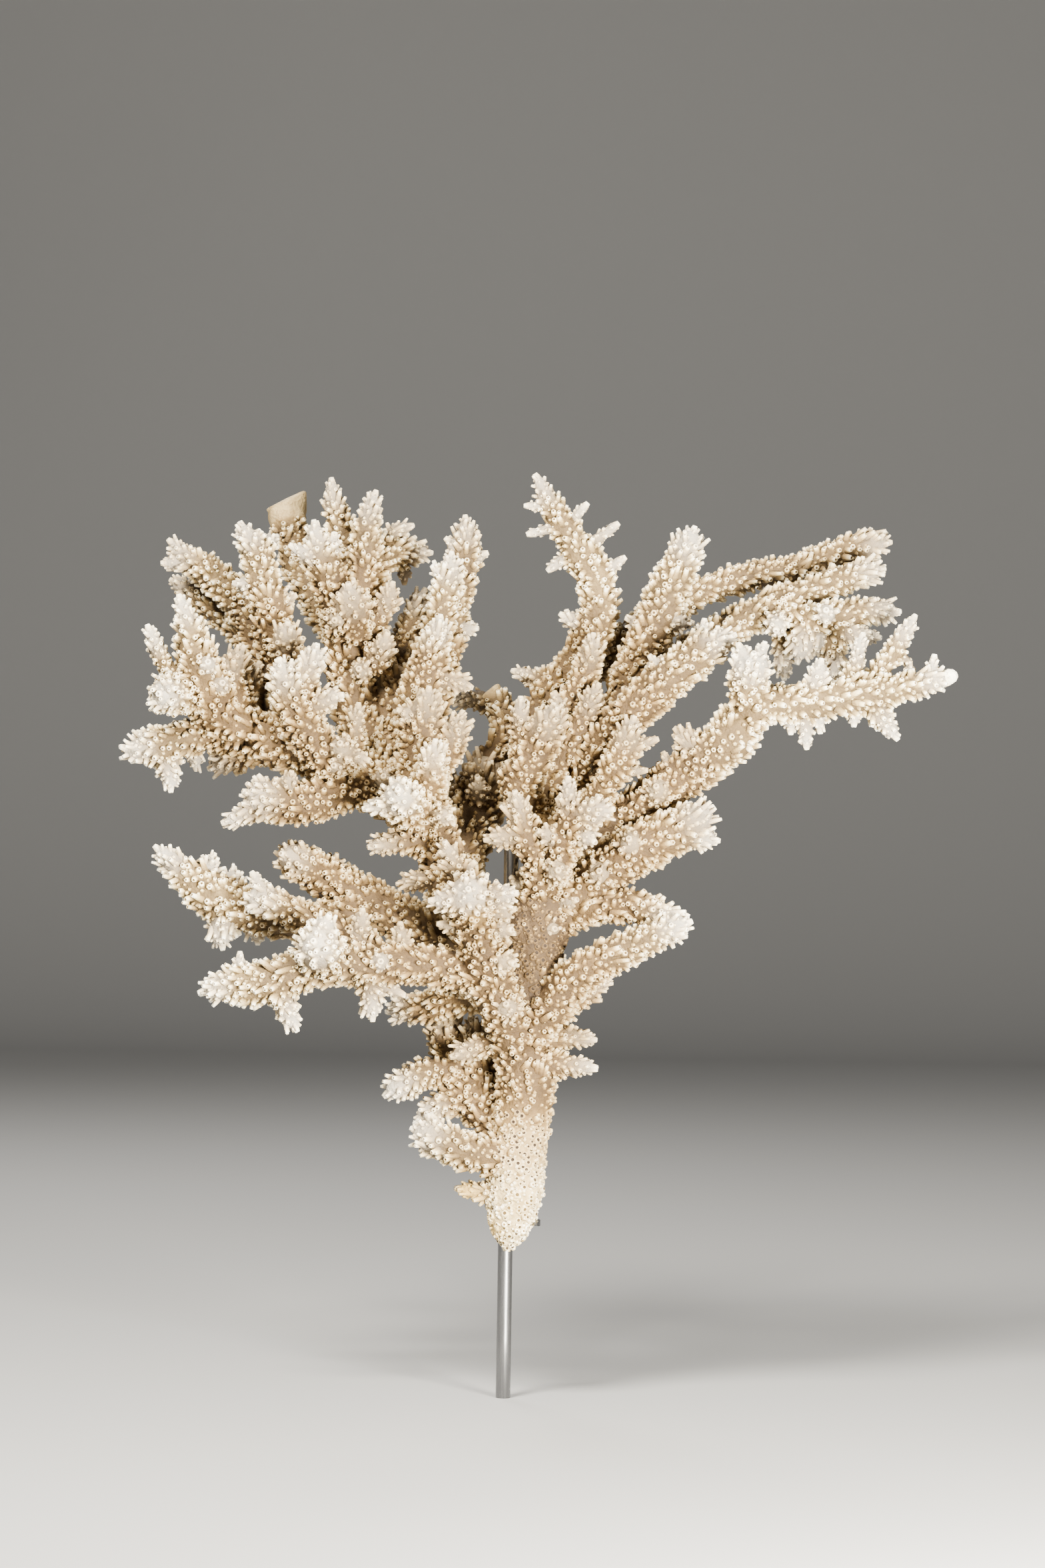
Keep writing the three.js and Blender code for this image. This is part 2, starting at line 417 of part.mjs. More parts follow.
// A point of the table as it stands in space.
function place([across, up, deep]) {
  const spread = 1 + deep / EYE_DISTANCE;
  const x = EYE_ACROSS + (across - EYE_ACROSS) * spread;
  const z = EYE_UP + (up - EYE_UP) * spread;
  return new THREE.Vector3(x, deep, z);
}

function toSolid(geometry) {
  const bare = geometry.clone();
  bare.deleteAttribute("normal");
  bare.deleteAttribute("uv");
  const merged = mergeVertices(bare, 1e-4);
  const vertProperties = new Float32Array(merged.attributes.position.array);
  const triVerts = new Uint32Array(merged.index.array);
  return new wasm.Manifold(new wasm.Mesh({ numProp: 3, vertProperties, triVerts }));
}

function toGeometry(solid) {
  const mesh = solid.getMesh();
  const geometry = new THREE.BufferGeometry();
  const positions = new Float32Array(mesh.vertProperties);
  geometry.setAttribute("position", new THREE.BufferAttribute(positions, 3));
  geometry.setIndex(new THREE.BufferAttribute(new Uint32Array(mesh.triVerts), 1));
  return geometry;
}

const sidesFor = (radius) => (radius > THICK_BRANCH ? 6 : 4);

// The radius at a share of a branch's length, eased between its points.
function radiusAt(points, curve, share) {
  const along = curve.getUtoTmapping(share, 0) * (points.length - 1);
  const i = Math.min(Math.floor(along), points.length - 2);
  return THREE.MathUtils.lerp(points[i][3], points[i + 1][3], along - i);
}

// A branch as rows of lattice points, in which every other point stands out as a cup and leans to the tip.
// Growing it by grow gives the cutter that keeps a neighbour clear of it.
function branchLattice(points, grow, broken) {
  const curve = new THREE.CatmullRomCurve3(points.map(place), false, "centripetal");
  const rows = Math.max(2, Math.round(curve.getLength() / ROW_STEP));
  const sides = sidesFor(Math.max(...points.map((point) => point[3])));
  const frames = curve.computeFrenetFrames(rows, false);
  const vertices = [];
  const outward = [];
  for (let i = 0; i <= rows; i++) {
    const centre = curve.getPointAt(i / rows);
    const radius = radiusAt(points, curve, i / rows);
    for (let j = 0; j < sides; j++) {
      const angle = (2 * Math.PI * j) / sides;
      const out = frames.normals[i].clone().multiplyScalar(Math.cos(angle));
      out.addScaledVector(frames.binormals[i], Math.sin(angle));
      const standsOut = (i + j) % 2 === 0 && i > 0 && !(broken && i === rows);
      const worn = centre.z < WORN_BELOW && radius > THICK_BRANCH;
      const height = worn ? PORE_HEIGHT : Math.min(CUP_HEIGHT, CUP_SHARE * radius);
      const vertex = centre.clone().addScaledVector(out, standsOut ? radius : radius - height);
      vertices.push(standsOut ? vertex.addScaledVector(frames.tangents[i], CUP_LEAN) : vertex);
      outward.push(out.multiplyScalar(grow));
    }
  }
  const start = curve.getPointAt(0).addScaledVector(frames.tangents[0], -grow);
  const tipReach = broken ? grow : TIP_REACH + grow * TIP_GROWTH;
  const end = curve.getPointAt(1).addScaledVector(frames.tangents[rows], tipReach);
  return { vertices, outward, rows, sides, start, end };
}

// A short twig is the nearest lattice point of its limb, drawn out to the twig's tip.
function drawOut(lattices, twig, grow) {
  const [from, to] = twig.map(place);
  const direction = to.clone().sub(from).normalize();
  const tip = to.clone().addScaledVector(direction, TIP_REACH + grow * TIP_GROWTH);
  const points = lattices.flatMap((lattice) => lattice.vertices.slice(lattice.sides));
  const nearest = points.reduce((a, b) => (b.distanceTo(to) < a.distanceTo(to) ? b : a));
  nearest.copy(tip);
}

// Joins rows of points into one closed surface. Each quad is split between its two low corners.
function latticeSolid({ vertices, outward, rows, sides, start, end }) {
  const faces = [];
  const at = (i, j) => i * sides + (j % sides);
  for (let i = 0; i < rows; i++) {
    for (let j = 0; j < sides; j++) {
      const [a, b, c, d] = [at(i, j), at(i, j + 1), at(i + 1, j + 1), at(i + 1, j)];
      if ((i + j) % 2 === 0) faces.push(a, b, d, b, c, d);
      else faces.push(a, b, c, a, c, d);
    }
  }
  const first = vertices.length;
  for (let j = 0; j < sides; j++) {
    faces.push(first, at(0, j + 1), at(0, j));
    faces.push(first + 1, at(rows, j), at(rows, j + 1));
  }
  const grown = vertices.map((vertex, k) => vertex.clone().add(outward[k]));
  const geometry = new THREE.BufferGeometry().setFromPoints([...grown, start, end]);
  geometry.setIndex(faces);
  return toSolid(geometry);
}

// A branch of two points is a short twig, and the others are tubes that run into each other.
function limbSolid(name, grow = 0) {
  const branches = LIMBS[name].filter((points) => points.length > 2);
  const twigs = LIMBS[name].filter((points) => points.length === 2);
  const lattices = branches.map((points, i) => branchLattice(points, grow, i === 0 && BROKEN.includes(name)));
  for (const twig of twigs) drawOut(lattices, twig, grow);
  return lattices.map(latticeSolid).reduce((whole, next) => whole.add(next));
}

// The largest body of a solid, without the chips that a cut leaves.
function largest(solid) {
  return solid.decompose().sort((a, b) => b.volume() - a.volume())[0];
}

// Whether the boxes round two solids meet.
function meets(a, b) {
  const [p, q] = [a.boundingBox(), b.boundingBox()];
  return [0, 1, 2].every((k) => p.min[k] < q.max[k] && q.min[k] < p.max[k]);
}

function postSolid(grow = 0) {
  const radius = POST_RADIUS + grow;
  const height = POST_HEIGHT + grow;
  const profile = [
    [0, 0],
    [radius, 0],
    [radius, height - POST_CHAMFER],
    [radius - POST_CHAMFER, height],
    [0, height],
  ].map(([x, y]) => new THREE.Vector2(x, y));
  return toSolid(new THREE.LatheGeometry(profile, POST_SIDES).rotateX(Math.PI / 2));
}

// A thin rod leaves the back of the post, passes behind the coral and rises in front of a right limb.
function prongSolid(grow = 0) {
  const curve = new THREE.CatmullRomCurve3(PRONG_ROUTE.map(place), false, "centripetal");
  const section = new THREE.Shape().absarc(0, 0, PRONG_RADIUS + grow, 0, 2 * Math.PI);
  const settings = {
    extrudePath: curve,
    steps: PRONG_STEPS,
    bevelEnabled: false,
    curveSegments: PRONG_ARC_STEPS,
  };
  return toSolid(new THREE.ExtrudeGeometry(section, settings));
}

// A flat finger on the front of the post reaches round the lower end of the coral.
function clipSolid(grow = 0) {
  const turn = grow / CLIP_RADIUS;
  const low = THREE.MathUtils.degToRad(CLIP_FROM_DEGREES) - turn;
  const high = THREE.MathUtils.degToRad(CLIP_TO_DEGREES) + turn;
  const shape = new THREE.Shape();
  shape.absarc(0, 0, CLIP_RADIUS + CLIP_WALL + grow, low, high, false);
  shape.absarc(0, 0, CLIP_RADIUS - grow, high, low, true);
  shape.closePath();
  const height = CLIP_HEIGHT + 2 * grow;
  const settings = { depth: height, bevelEnabled: false, curveSegments: CLIP_STEPS };
  const strip = new THREE.ExtrudeGeometry(shape, settings);
  const back = POST_RADIUS + GAP + CLIP_WALL + CLIP_RADIUS;
  return toSolid(strip.translate(CLIP_ACROSS, -back, CLIP_UP - height / 2));
}

const group = new THREE.Group();

function show(name, solid, material) {
  const mesh = new THREE.Mesh(toGeometry(solid), material);
  mesh.name = name;
  group.add(mesh);
}

const steel = new THREE.MeshStandardMaterial({ color: COLOURS.steel, roughness: 0.28, metalness: 1 });
const coral = new THREE.MeshStandardMaterial({ color: COLOURS.coral, roughness: 0.85, metalness: 0 });

// The steel stands first, and every later piece keeps clear of the ones before it.
show("post", postSolid(), steel);
show("support_prong", largest(prongSolid().subtract(postSolid(GAP))), steel);
show("lower_clip", clipSolid(), steel);

const cutters = [postSolid(GAP).add(prongSolid(GAP)).add(clipSolid(GAP))];
for (const name of Object.keys(LIMBS)) {
  let solid = limbSolid(name);
  for (const cutter of cutters) {
    if (meets(solid, cutter)) solid = largest(solid.subtract(cutter));
  }
  show(name, solid, coral);
  cutters.push(limbSolid(name, GAP), toSolid(toGeometry(solid)));
}

export default group;
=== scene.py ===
import math

import bpy
import numpy as np
from mathutils import Matrix, Vector


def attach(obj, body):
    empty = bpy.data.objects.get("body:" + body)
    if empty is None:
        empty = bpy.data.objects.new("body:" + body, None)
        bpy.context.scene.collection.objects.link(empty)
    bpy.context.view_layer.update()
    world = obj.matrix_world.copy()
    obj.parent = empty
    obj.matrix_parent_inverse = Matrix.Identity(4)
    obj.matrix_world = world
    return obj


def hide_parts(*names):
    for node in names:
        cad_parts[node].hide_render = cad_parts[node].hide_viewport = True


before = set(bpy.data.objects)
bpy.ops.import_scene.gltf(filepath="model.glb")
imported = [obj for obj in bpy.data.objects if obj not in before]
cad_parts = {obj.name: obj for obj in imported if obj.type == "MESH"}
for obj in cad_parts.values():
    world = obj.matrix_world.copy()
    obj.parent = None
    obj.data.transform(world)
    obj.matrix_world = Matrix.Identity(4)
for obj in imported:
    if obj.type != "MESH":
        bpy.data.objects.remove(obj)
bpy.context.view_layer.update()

# Lengths are in millimetres until a mesh is made. Z is up and the coral faces -Y.
MM = 0.001

# Steel holders: a round post, a prong that rises behind the coral and a clip round its lower end
POST_RADIUS = 2.5
POST_HEIGHT = 190
POST_SIDES = 48
POST_CHAMFER = 0.8
CHAMFER_SHARES = (1, 0.62, 0.29, 0.08, 0)
FOOT_BEVEL_IN = 0.2
FOOT_BEVEL_UP = 0.25
PRONG_RADIUS = 1.25
PRONG_SIDES = 20
PRONG_TIP_RADIUS = 1.35
PRONG_TIP_SHARES = (1, 0.9, 0.55)
CLIP_UP = 61
CLIP_HEIGHT = 1.8
CLIP_WALL = 1
CLIP_RADIUS = 9
CLIP_ACROSS = 1.8
CLIP_DEGREES = (-28, 140)
CLIP_STEPS = 60
CLIP_END_SHARES = (0.35, 0.72, 0.93, 1)
GAP = 0.35

# Coral bodies: tubes that carry the cups. The radius of a branch reaches the rims of its cups, so a
# body is thinner by the cups' reach, and where it is worn by the lower pores' reach.
CURVE_SAMPLES = 24
BODY_STEP = 1.9
BODY_SIDES = 16
SLIM_SIDES = 12
SLIM_RADIUS = 3
WORN_SIDES = 28
CUP_REACH = 1.85
BODY_SHARE = 0.66
WORN_REACH = 0.9
SLOPE_RANGE = (-0.6, 2.5)
TIP_RADIUS = 1.7
DOME = (0.35, 0.65, 0.88, 0.98)
LUMP_HEIGHT = 0.34
FULL_LUMPS_FROM = 4
FILLET = 5.0
FILLET_BAND = 30.0
NOTHING_NEAR = 99.0

# Cups: small tubes that stand out of a branch and lean towards its tip. Each takes up CELL_AREA of the
# branch. Branches thinner than FULL_CUPS_FROM have smaller ones.
GOLDEN_ANGLE = math.pi * (3 - math.sqrt(5))
SPIRAL_SPREAD = 0.2
CELL_AREA = 9.6
SMALL_SHARE = 0.2
WORN_SMALL_SHARE = 0.3
CUP_SIDES = 6
SMALL_SIDES = 5
CUP_RADIUS = (0.76, 1.12)
SMALL_RADIUS = (0.48, 0.72)
FULL_CUPS_FROM = 6
LEAST_CUP_SCALE = 0.62
LEAST_REACH = 0.9
LEAST_OUTWARD = 0.45
WORN_STRETCH = 0.25
CUP_LENGTH = (0.65, 1.35)
SMALL_LENGTH = (0.3, 0.6)
CUP_SUNK = 0.1
CUP_SET_BACK = 0.2
CUP_LEAN = math.radians(27)
TIP_LEAN = math.radians(36)
LEAN_SPREAD = 0.26
CUP_STRAY = 0.22
TIP_ZONE = 12.0
AXIAL_RADIUS = 1.35
AXIAL_LEAST_RADIUS = 0.8
AXIAL_SHARE = 0.75
AXIAL_LENGTH = 2.5

# Low open pores on worn stretches, and nubs, which are the grain between cups or pores
PORE_CELL_AREA = 5.2
PORE_RADIUS = 0.6
PORE_WIDTH = (0.7, 1.2)
PORE_HEIGHT = (0.35, 0.6)
PORE_LEAN = 0.3
PORE_STRAY = 0.12
NUB_CELL_AREA = 12.0
WORN_NUB_CELL_AREA = 5.5
NUB_SIDES = 4
NUB_RADIUS = (0.42, 0.75)
NUB_HEIGHT = (0.45, 1.1)
NUB_LEAN = 0.4
NUB_STRAY = 0.25
NUB_TURN = 1.2

# The smooth knob that one limb ends in
BULB_LIMB = "right_reaching_tip"
BULB_RADIUS = 2.7
BULB_STRETCH = 1.7
BULB_SIDES = 14

# A cup is left out where its middle lies less than BURIED outside all other branches, and a tip that
# lies deeper than INSIDE in another branch doesn't count as free.
BURIED = 0.35
INSIDE = -2.0

# Painted shade: inner and older stretches, with many other branches close by, are painted browner where the
# colony shades them, and so is the rear, which lies further from the lights.
CROWDED_RANGE = 20.0
CROWDED_UNIT = 100
CROWDED_FROM = 20.0
CROWDED_TO = 56.0
REAR_FROM = -15.0
REAR_TO = 45.0
REAR_PAINTED_SHADE = 0.75

# Branch points are laid out as they look from the camera, straight in front of the coral.
EYE_ACROSS = 3.4
EYE_UP = 209.2
EYE_DISTANCE = 1600
CAMERA_ROLL = math.radians(0.9)
FOCAL_LENGTH = 107.8

# The studio, in metres: a floor that sweeps up into a backdrop, and the lights
FLOOR_FRONT = -3.0
FLOOR_HALF_WIDTH = 3.5
FLOOR_DROP = 0.00002
BEND_START = 2.0
BEND_RADIUS = 0.9
BEND_STEPS = 16
BACKDROP_HEIGHT = 3.5
FLOOR_COLOUR = (0.26, 0.26, 0.265, 1)
FLOOR_ROUGHNESS = 0.85
WORLD_COLOUR = (0.95, 0.97, 1.0, 1)
WORLD_STRENGTH = 0.2

# Name, position, target, size, watts and colour of each light
LIGHTS = (
    ("key", (0.30, -0.62, 0.13), (0.01, 0.0, 0.15), 0.2, 47, (1.0, 0.945, 0.81)),
    ("overhead", (-0.32, -0.62, 0.85), (0.0, 0.0, 0.18), 0.3, 52, (1.0, 0.945, 0.82)),
    ("back", (-0.35, 0.9, 1.0), (0.0, 0.0, 0.18), 0.4, 12, (1.0, 0.97, 0.92)),
)

SEED = 11
rng = np.random.default_rng(SEED)

# Every limb is a list of branches, and every branch a list of (across, up, deep, radius) points, where
# the radius reaches the rims of the cups. The first branch of a limb is its stem.
LIMBS = {
    "trunk": [
        [(1, 51, -11, 2.5), (1.3, 55, -12, 6), (1.8, 61, -13, 8.4), (3, 70, -13.5, 10.3),
         (3.5, 80, -13.5, 10.2), (4.5, 90, -14, 10), (5.5, 100, -14.5, 10.5), (6, 110, -15, 11),
         (5.5, 118, -15, 10.5), (5, 124, -15, 9.5)],
        [(-3, 70, -14, 5), (-11, 70.5, -15, 4), (-16.5, 71, -16, 3)],
        [(8, 119, -15, 6), (20, 123, -14, 4.8), (29, 122.5, -13, 3)],
        [(8, 113, -17, 6), (21, 113.5, -20, 4.8), (29.5, 113, -21, 3)],
        [(0, 121, -13, 6), (-10, 119.5, -14, 4.8), (-19, 116, -18, 4.5)],
    ],
    "front_stem": [
        [(3, 118, -17, 8), (0, 127, -21, 8.5), (-4, 136, -25, 8.5), (-7, 146, -29, 8.5),
         (-10, 156, -33, 9), (-12, 165, -38, 9), (-14, 171, -44, 9), (-14.5, 173, -51, 5.5)],
        [(-16, 169, -44, 5), (-27, 169, -46, 4)],
        [(-10, 168, -42, 5), (-4, 171, -46, 5), (1.5, 172, -48, 4.2)],
        [(-9, 164.5, -38, 5), (1, 166.5, -42, 4.4)],
        [(-8, 160, -35, 5), (0, 159.5, -43, 4)],
        [(-6, 150, -32, 5), (1, 148, -39, 4)],
        [(0, 131, -24, 5), (-1, 134, -34, 4.5)],
        [(-14, 168, -34, 6), (-20, 174, -28, 5), (-28, 176, -26, 4.5), (-38, 174.5, -24, 4)],
        [(-11, 160, -34, 5), (-24, 161, -35, 3)],
        [(-5, 140, -27, 5), (-16, 138.5, -28, 3)],
    ],
    "middle_stem": [
        [(5.5, 116, -14, 8.5), (5.5, 125, -14, 9.5), (6, 135, -13.5, 9.8), (7, 145, -13, 10.3),
         (8.5, 155, -12.5, 10.8), (10.5, 165, -11.5, 11), (12.5, 173, -10, 10.3), (14.5, 178, -8, 9)],
        [(14, 168, -14, 4), (22, 170, -21, 3.5)],
        [(12, 160, -15, 4), (15, 160, -23, 3.4)],
        [(9, 171, -13, 5), (0.5, 177, -14, 3.8)],
    ],
    "lower_rear_branch": [
        [(6, 130, -10, 7), (10, 136, 6, 6.5), (11, 145, 22, 6), (10, 154, 36, 5), (9, 160, 45, 3.5)],
        [(11, 147, 24, 5), (17, 152, 34, 3.4)],
    ],
    "lower_left_branch": [
        [(0, 81, -15, 6.5), (-11, 83, -20, 7), (-20, 86, -22, 7.5), (-27, 89, -22, 7.3),
         (-32, 91, -21, 4.6)],
    ],
    "left_root_limb": [
        [(1, 86, -13, 6), (-9, 97, -6, 7), (-15, 107, -3, 7.5), (-19, 117, 0, 7.5), (-22, 126, 3, 7.3),
         (-25, 131, 3, 5)],
        [(-6, 96, -6, 7), (-8, 108, -3, 7), (-11, 120, -2, 6.5), (-13, 129, -2, 5)],
        [(-14, 107, -3, 6), (-24, 111, -6, 6), (-32, 108, -10, 6.5), (-38, 105, -13, 6),
         (-41.5, 102.5, -14, 4)],
        [(-11, 103, -5, 6), (-20, 101, -8, 5.5), (-26, 97, -12, 5.5), (-30, 94, -15, 4.5)],
    ],
    "left_front_limb": [
        [(0, 134, -19, 7), (-10, 143, -24, 8), (-22, 146, -26, 8), (-35, 147, -28, 7.5),
         (-48, 147, -30, 7.5), (-60, 146.5, -33, 8), (-70, 145, -33, 8), (-80, 141, -33, 8),
         (-90, 139.5, -32, 8), (-98, 138.5, -32, 6.5), (-105, 136.5, -32, 3.4)],
        [(-61, 148, -35, 8), (-65, 152, -44, 9.5), (-67, 154.5, -53, 6)],
        [(-65, 156, -44, 5), (-62, 163, -48, 3.5)],
        [(-52, 150, -28, 5.5), (-51, 158, -28, 4.5), (-50.5, 165, -29, 3)],
        [(-37, 151, -27, 5), (-37.5, 160.5, -26, 3)],
        [(-44, 148, -32, 4), (-44, 148, -39, 3.6)],
        [(-79, 139, -33, 6), (-76, 131, -34, 4.8), (-72.5, 124.5, -35, 3.6)],
        [(-47, 144, -30, 6), (-47, 136, -31, 4.8), (-46.5, 128.5, -32, 3.8)],
        [(-46, 141, -31, 3), (-36.5, 137, -30, 2.4)],
        [(-92, 142, -32, 4), (-92, 149.5, -31, 2)],
        [(0, 138, -15, 6), (-16, 136, -10, 6.5), (-26, 133, -5, 6.5), (-34, 132, 0, 6),
         (-41, 131, 3, 4.5)],
    ],
    "left_shaded_limb": [
        [(3, 142, -10, 8), (-10, 148, -5, 9), (-22, 154, -2, 9), (-34, 161, 0, 9), (-46, 167, 2, 9),
         (-57, 173, 2, 8.5), (-66, 178, -3, 8), (-73, 182, -9, 7.5), (-78, 184, -15, 5.5)],
        [(-62, 178, 2, 5), (-60, 183, 8, 3.5)],
    ],
    "left_rear_branch": [
        [(-46, 167, 4, 7.5), (-46, 166, 18, 6.5), (-48, 166, 31, 5.5), (-50, 168, 41, 3.5)],
    ],
    "left_hook_limb": [
        [(-48, 166, -4, 7.5), (-60, 162, -8, 7.5), (-76, 162, -10, 8), (-86, 164, -9, 8.5),
         (-96, 167, -10, 9), (-104, 171, -12, 8.5), (-110, 176, -14, 7), (-116, 181, -15, 5.3),
         (-121, 185.5, -16, 2.6)],
        [(-97, 164, -10, 6.5), (-98.5, 158, -12, 5.5), (-98, 152, -13, 4.6)],
        [(-86, 160, -9, 5), (-86, 154, -9, 4)],
        [(-104, 176, -11, 5), (-101.5, 183, -9, 3.2)],
        [(-95, 172, -8, 5), (-94.5, 178.5, -6, 4)],
        [(-87, 168, -8, 4), (-87, 176, -7, 3)],
    ],
    "left_hook_front": [
        [(-44, 150, -26, 6), (-56, 157, -23, 6), (-66, 161, -22, 6), (-76, 165, -23, 6),
         (-84, 168, -25, 6), (-90, 169.5, -27, 4.8)],
        [(-84, 170, -25, 3.5), (-88, 177, -25, 2.4)],
    ],
    "back_stem": [
        [(-10, 148, -4, 8), (-18, 162, 6, 9), (-20, 175, 12, 10), (-17, 188, 16, 10.5),
         (-13, 200, 19, 10.5), (-10, 211, 21, 9), (-9.5, 219, 23, 6.5)],
        [(-11, 203, 12, 5), (-12, 211, 4, 4)],
    ],
    "centre_rear_branch": [
        [(-16, 192, 20, 7.5), (-18, 197, 32, 6.8), (-21, 205, 44, 6), (-22, 212, 55, 4)],
        [(-19, 199, 34, 5), (-29, 203, 42, 3.4)],
    ],
    "back_arch": [
        [(-10, 213, 22, 6.5), (-4, 222, 27, 6), (-2.5, 229, 31, 6), (-4, 235, 34, 5.5), (-8, 240, 36, 5)],
        [(-6, 236, 34, 5), (-14, 238, 36, 4), (-21, 237, 36, 3.2)],
    ],
    "front_left_stem": [
        [(-10, 158, -31, 7.5), (-14, 167, -29, 8), (-20, 178, -24, 8), (-26, 190, -18, 9),
         (-30, 202, -13, 9), (-31, 214, -9, 9), (-31, 226, -8, 8), (-30, 234, -9, 7), (-29, 241, -10, 4)],
        [(-32, 230, -9, 4.5), (-39, 233.5, -12, 3.2)],
        [(-18, 173, -27, 6), (-20, 181, -34, 5), (-22.5, 188.5, -37, 3.6)],
        [(-18, 178, -30, 3.5), (-13, 182, -32, 2.4)],
        [(-24, 186, -20, 6), (-33, 189, -24, 5), (-41, 188.5, -27, 4.8), (-48, 187, -29, 3.6)],
        [(-29, 196, -17, 8), (-35, 200, -28, 8), (-38, 204, -38, 7.5), (-39, 206.5, -44, 4.6)],
        [(-40, 202, -36, 5), (-50, 200, -37, 2.6)],
        [(-28, 198, -24, 5), (-21, 197.5, -34, 4)],
        [(-29, 204, -17, 7), (-28, 212, -24, 6), (-27, 218, -27, 5.3), (-26.5, 223, -28, 3.2)],
        [(-28, 211, -8, 6.5), (-23, 218, -6, 6), (-20, 226, -6, 6.2), (-17.5, 233, -6, 4)],
    ],
    "left_spire": [
        [(-30, 220, -5, 8), (-33, 233, 0, 8), (-31, 243, 0, 7.5), (-28, 253, -1, 6.8), (-26, 261, -2, 5),
         (-25.5, 265.5, -2, 3)],
        [(-28, 244, -1, 5.5), (-20, 243.5, -1, 4.5), (-15, 242, -1, 3.3)],
        [(-32, 236, 3, 7), (-30, 250, 8, 6.5), (-26, 263, 9, 6.3), (-24, 273, 9, 6), (-22.5, 281, 9, 5.2),
         (-22, 287, 9, 2.8)],
        [(-23, 277, 8, 3), (-28, 282.5, 7, 2)],
    ],
    "rear_spire": [
        [(-29, 232, 8, 7), (-26, 242, 18, 6.8), (-23, 255, 26, 6.5), (-21, 268, 30, 6.5),
         (-18.5, 280, 32, 6.3), (-17, 291, 33, 6), (-17.5, 299.5, 33, 2.8)],
        [(-17, 285, 32, 4), (-10.5, 287.5, 31, 2.6)],
        [(-19, 288, 32, 4), (-23.5, 292, 31, 2.4)],
        [(-20, 262, 28, 4), (-13.5, 262, 26, 3)],
        [(-27, 236, 14, 7), (-36, 243, 32, 7.3), (-37, 255, 40, 7), (-34, 266, 44, 6),
         (-31, 274.5, 45, 3.5)],
    ],
    "left_high_limb": [
        [(-18, 190, 10, 9), (-30, 198, 9, 9.7), (-43, 206, 8, 10), (-56, 213, 6, 10), (-68, 218, 4, 9.5),
         (-80, 222, 2, 9.5), (-91, 226, 0, 9)],
        [(-57, 215, -3, 6), (-58, 219, -12, 5.8), (-59, 222, -20, 4.5)],
        [(-56, 218, -12, 4), (-49.5, 216.5, -15, 3)],
        [(-60, 215, -6, 5), (-61, 214.5, -16, 3.4)],
        [(-44, 209, 2, 5), (-44, 211, -7, 4)],
        [(-55, 219, 2, 6), (-54, 228, 0, 4), (-53, 235, 0, 3)],
        [(-85, 221, 5, 7), (-96, 216, 8, 5.8), (-103, 213, 9, 4)],
    ],
    "left_high_rear_branch": [
        [(-58, 213, 8, 7.5), (-62, 210, 21, 6.5), (-66, 207, 34, 6), (-70, 206, 45, 4)],
    ],
    "left_high_front": [
        [(-46, 207, 3, 7.5), (-56, 206, -3, 7.8), (-64, 203, -9, 8), (-74, 201.5, -14, 8),
         (-84, 203, -18, 8), (-91, 205, -21, 6)],
        [(-84, 200, -18, 5), (-98, 194.5, -20, 3.4)],
        [(-77, 205, -18, 4.5), (-75.5, 211.5, -20, 3.2)],
    ],
    "left_outer_tip": [
        [(-89, 225, 0, 8), (-100, 232, -4, 9), (-104, 240, -8, 9), (-108, 250, -12, 8),
         (-111, 260, -14, 6), (-114.5, 271, -15, 2.8)],
        [(-94, 231, -1, 8), (-96, 242, -4, 7.3), (-95, 249, -6, 6), (-92.5, 254, -6, 3.2)],
        [(-91, 240, 1, 5), (-87, 248.5, 4, 3)],
        [(-101, 241, -10, 4.5), (-99.5, 242, -18, 4)],
        [(-105, 247, -13, 4.5), (-104.5, 249, -21, 3.4)],
    ],
    "left_outer_front": [
        [(-103, 236, -7, 7.5), (-112, 238, -10, 7.5), (-118, 238, -18, 7.5), (-121, 238, -26, 5)],
        [(-114, 240, -10, 5.5), (-119, 248, -8, 4), (-122.5, 254.5, -8, 3.8), (-125, 260.5, -8, 2.5)],
    ],
    "left_outer_low": [
        [(-90, 224, 3, 7.5), (-104, 225, 2, 7), (-114, 222.5, -2, 7), (-123, 219.5, -4, 6.8),
         (-129, 218.5, -5, 5.3), (-133, 219.5, -6, 3)],
        [(-117, 219, -3, 5.5), (-117, 211, -4, 4.5), (-116.5, 205.5, -5, 3)],
        [(-109, 221, 4, 4), (-108, 213, 8, 3)],
        [(-122, 222, -4, 3), (-127.5, 224.5, -4, 2.4)],
    ],
    "left_fan": [
        [(-69, 218, 6, 8.5), (-78, 232, 13, 9), (-83, 245, 20, 8.5), (-86, 256, 24, 8), (-92, 267, 26, 7),
         (-100, 276, 27, 7), (-107, 281.5, 27, 6.5), (-113, 285.5, 27, 5), (-118, 290, 27, 2.6)],
        [(-111, 282.5, 27, 3.5), (-120, 282.5, 26, 2.6)],
        [(-86, 254, 27, 7.5), (-95, 262, 36, 6.5), (-104, 268.5, 40, 6.3), (-111, 273, 42, 5.5),
         (-117, 276.5, 43, 3.2)],
    ],
    "left_fan_inner": [
        [(-80, 240, 17, 7.5), (-80.5, 250, 11, 7.5), (-82, 260, 7, 7.5), (-83.5, 269, 6, 7.3),
         (-86, 277, 5, 7), (-88, 285, 5, 6.6), (-91, 291, 6, 5.3), (-94, 296, 7, 3)],
        [(-87, 275, 5, 4), (-95.5, 276, 5, 3.2)],
        [(-82, 269, 5, 4), (-75.5, 272, 5, 3.2)],
        [(-88, 287, 7, 4), (-82, 292, 13, 3.4)],
        [(-77, 243, 8, 6.5), (-77, 252, 1, 6.8), (-78, 258, -4, 6.3), (-77.5, 262.5, -6, 4.5)],
    ],
    "left_fan_front": [
        [(-58, 211, 0, 8), (-66, 219, -10, 8), (-71, 227, -16, 8), (-75, 235, -20, 7.8),
         (-78, 243, -23, 7), (-80, 250, -25, 4.3)],
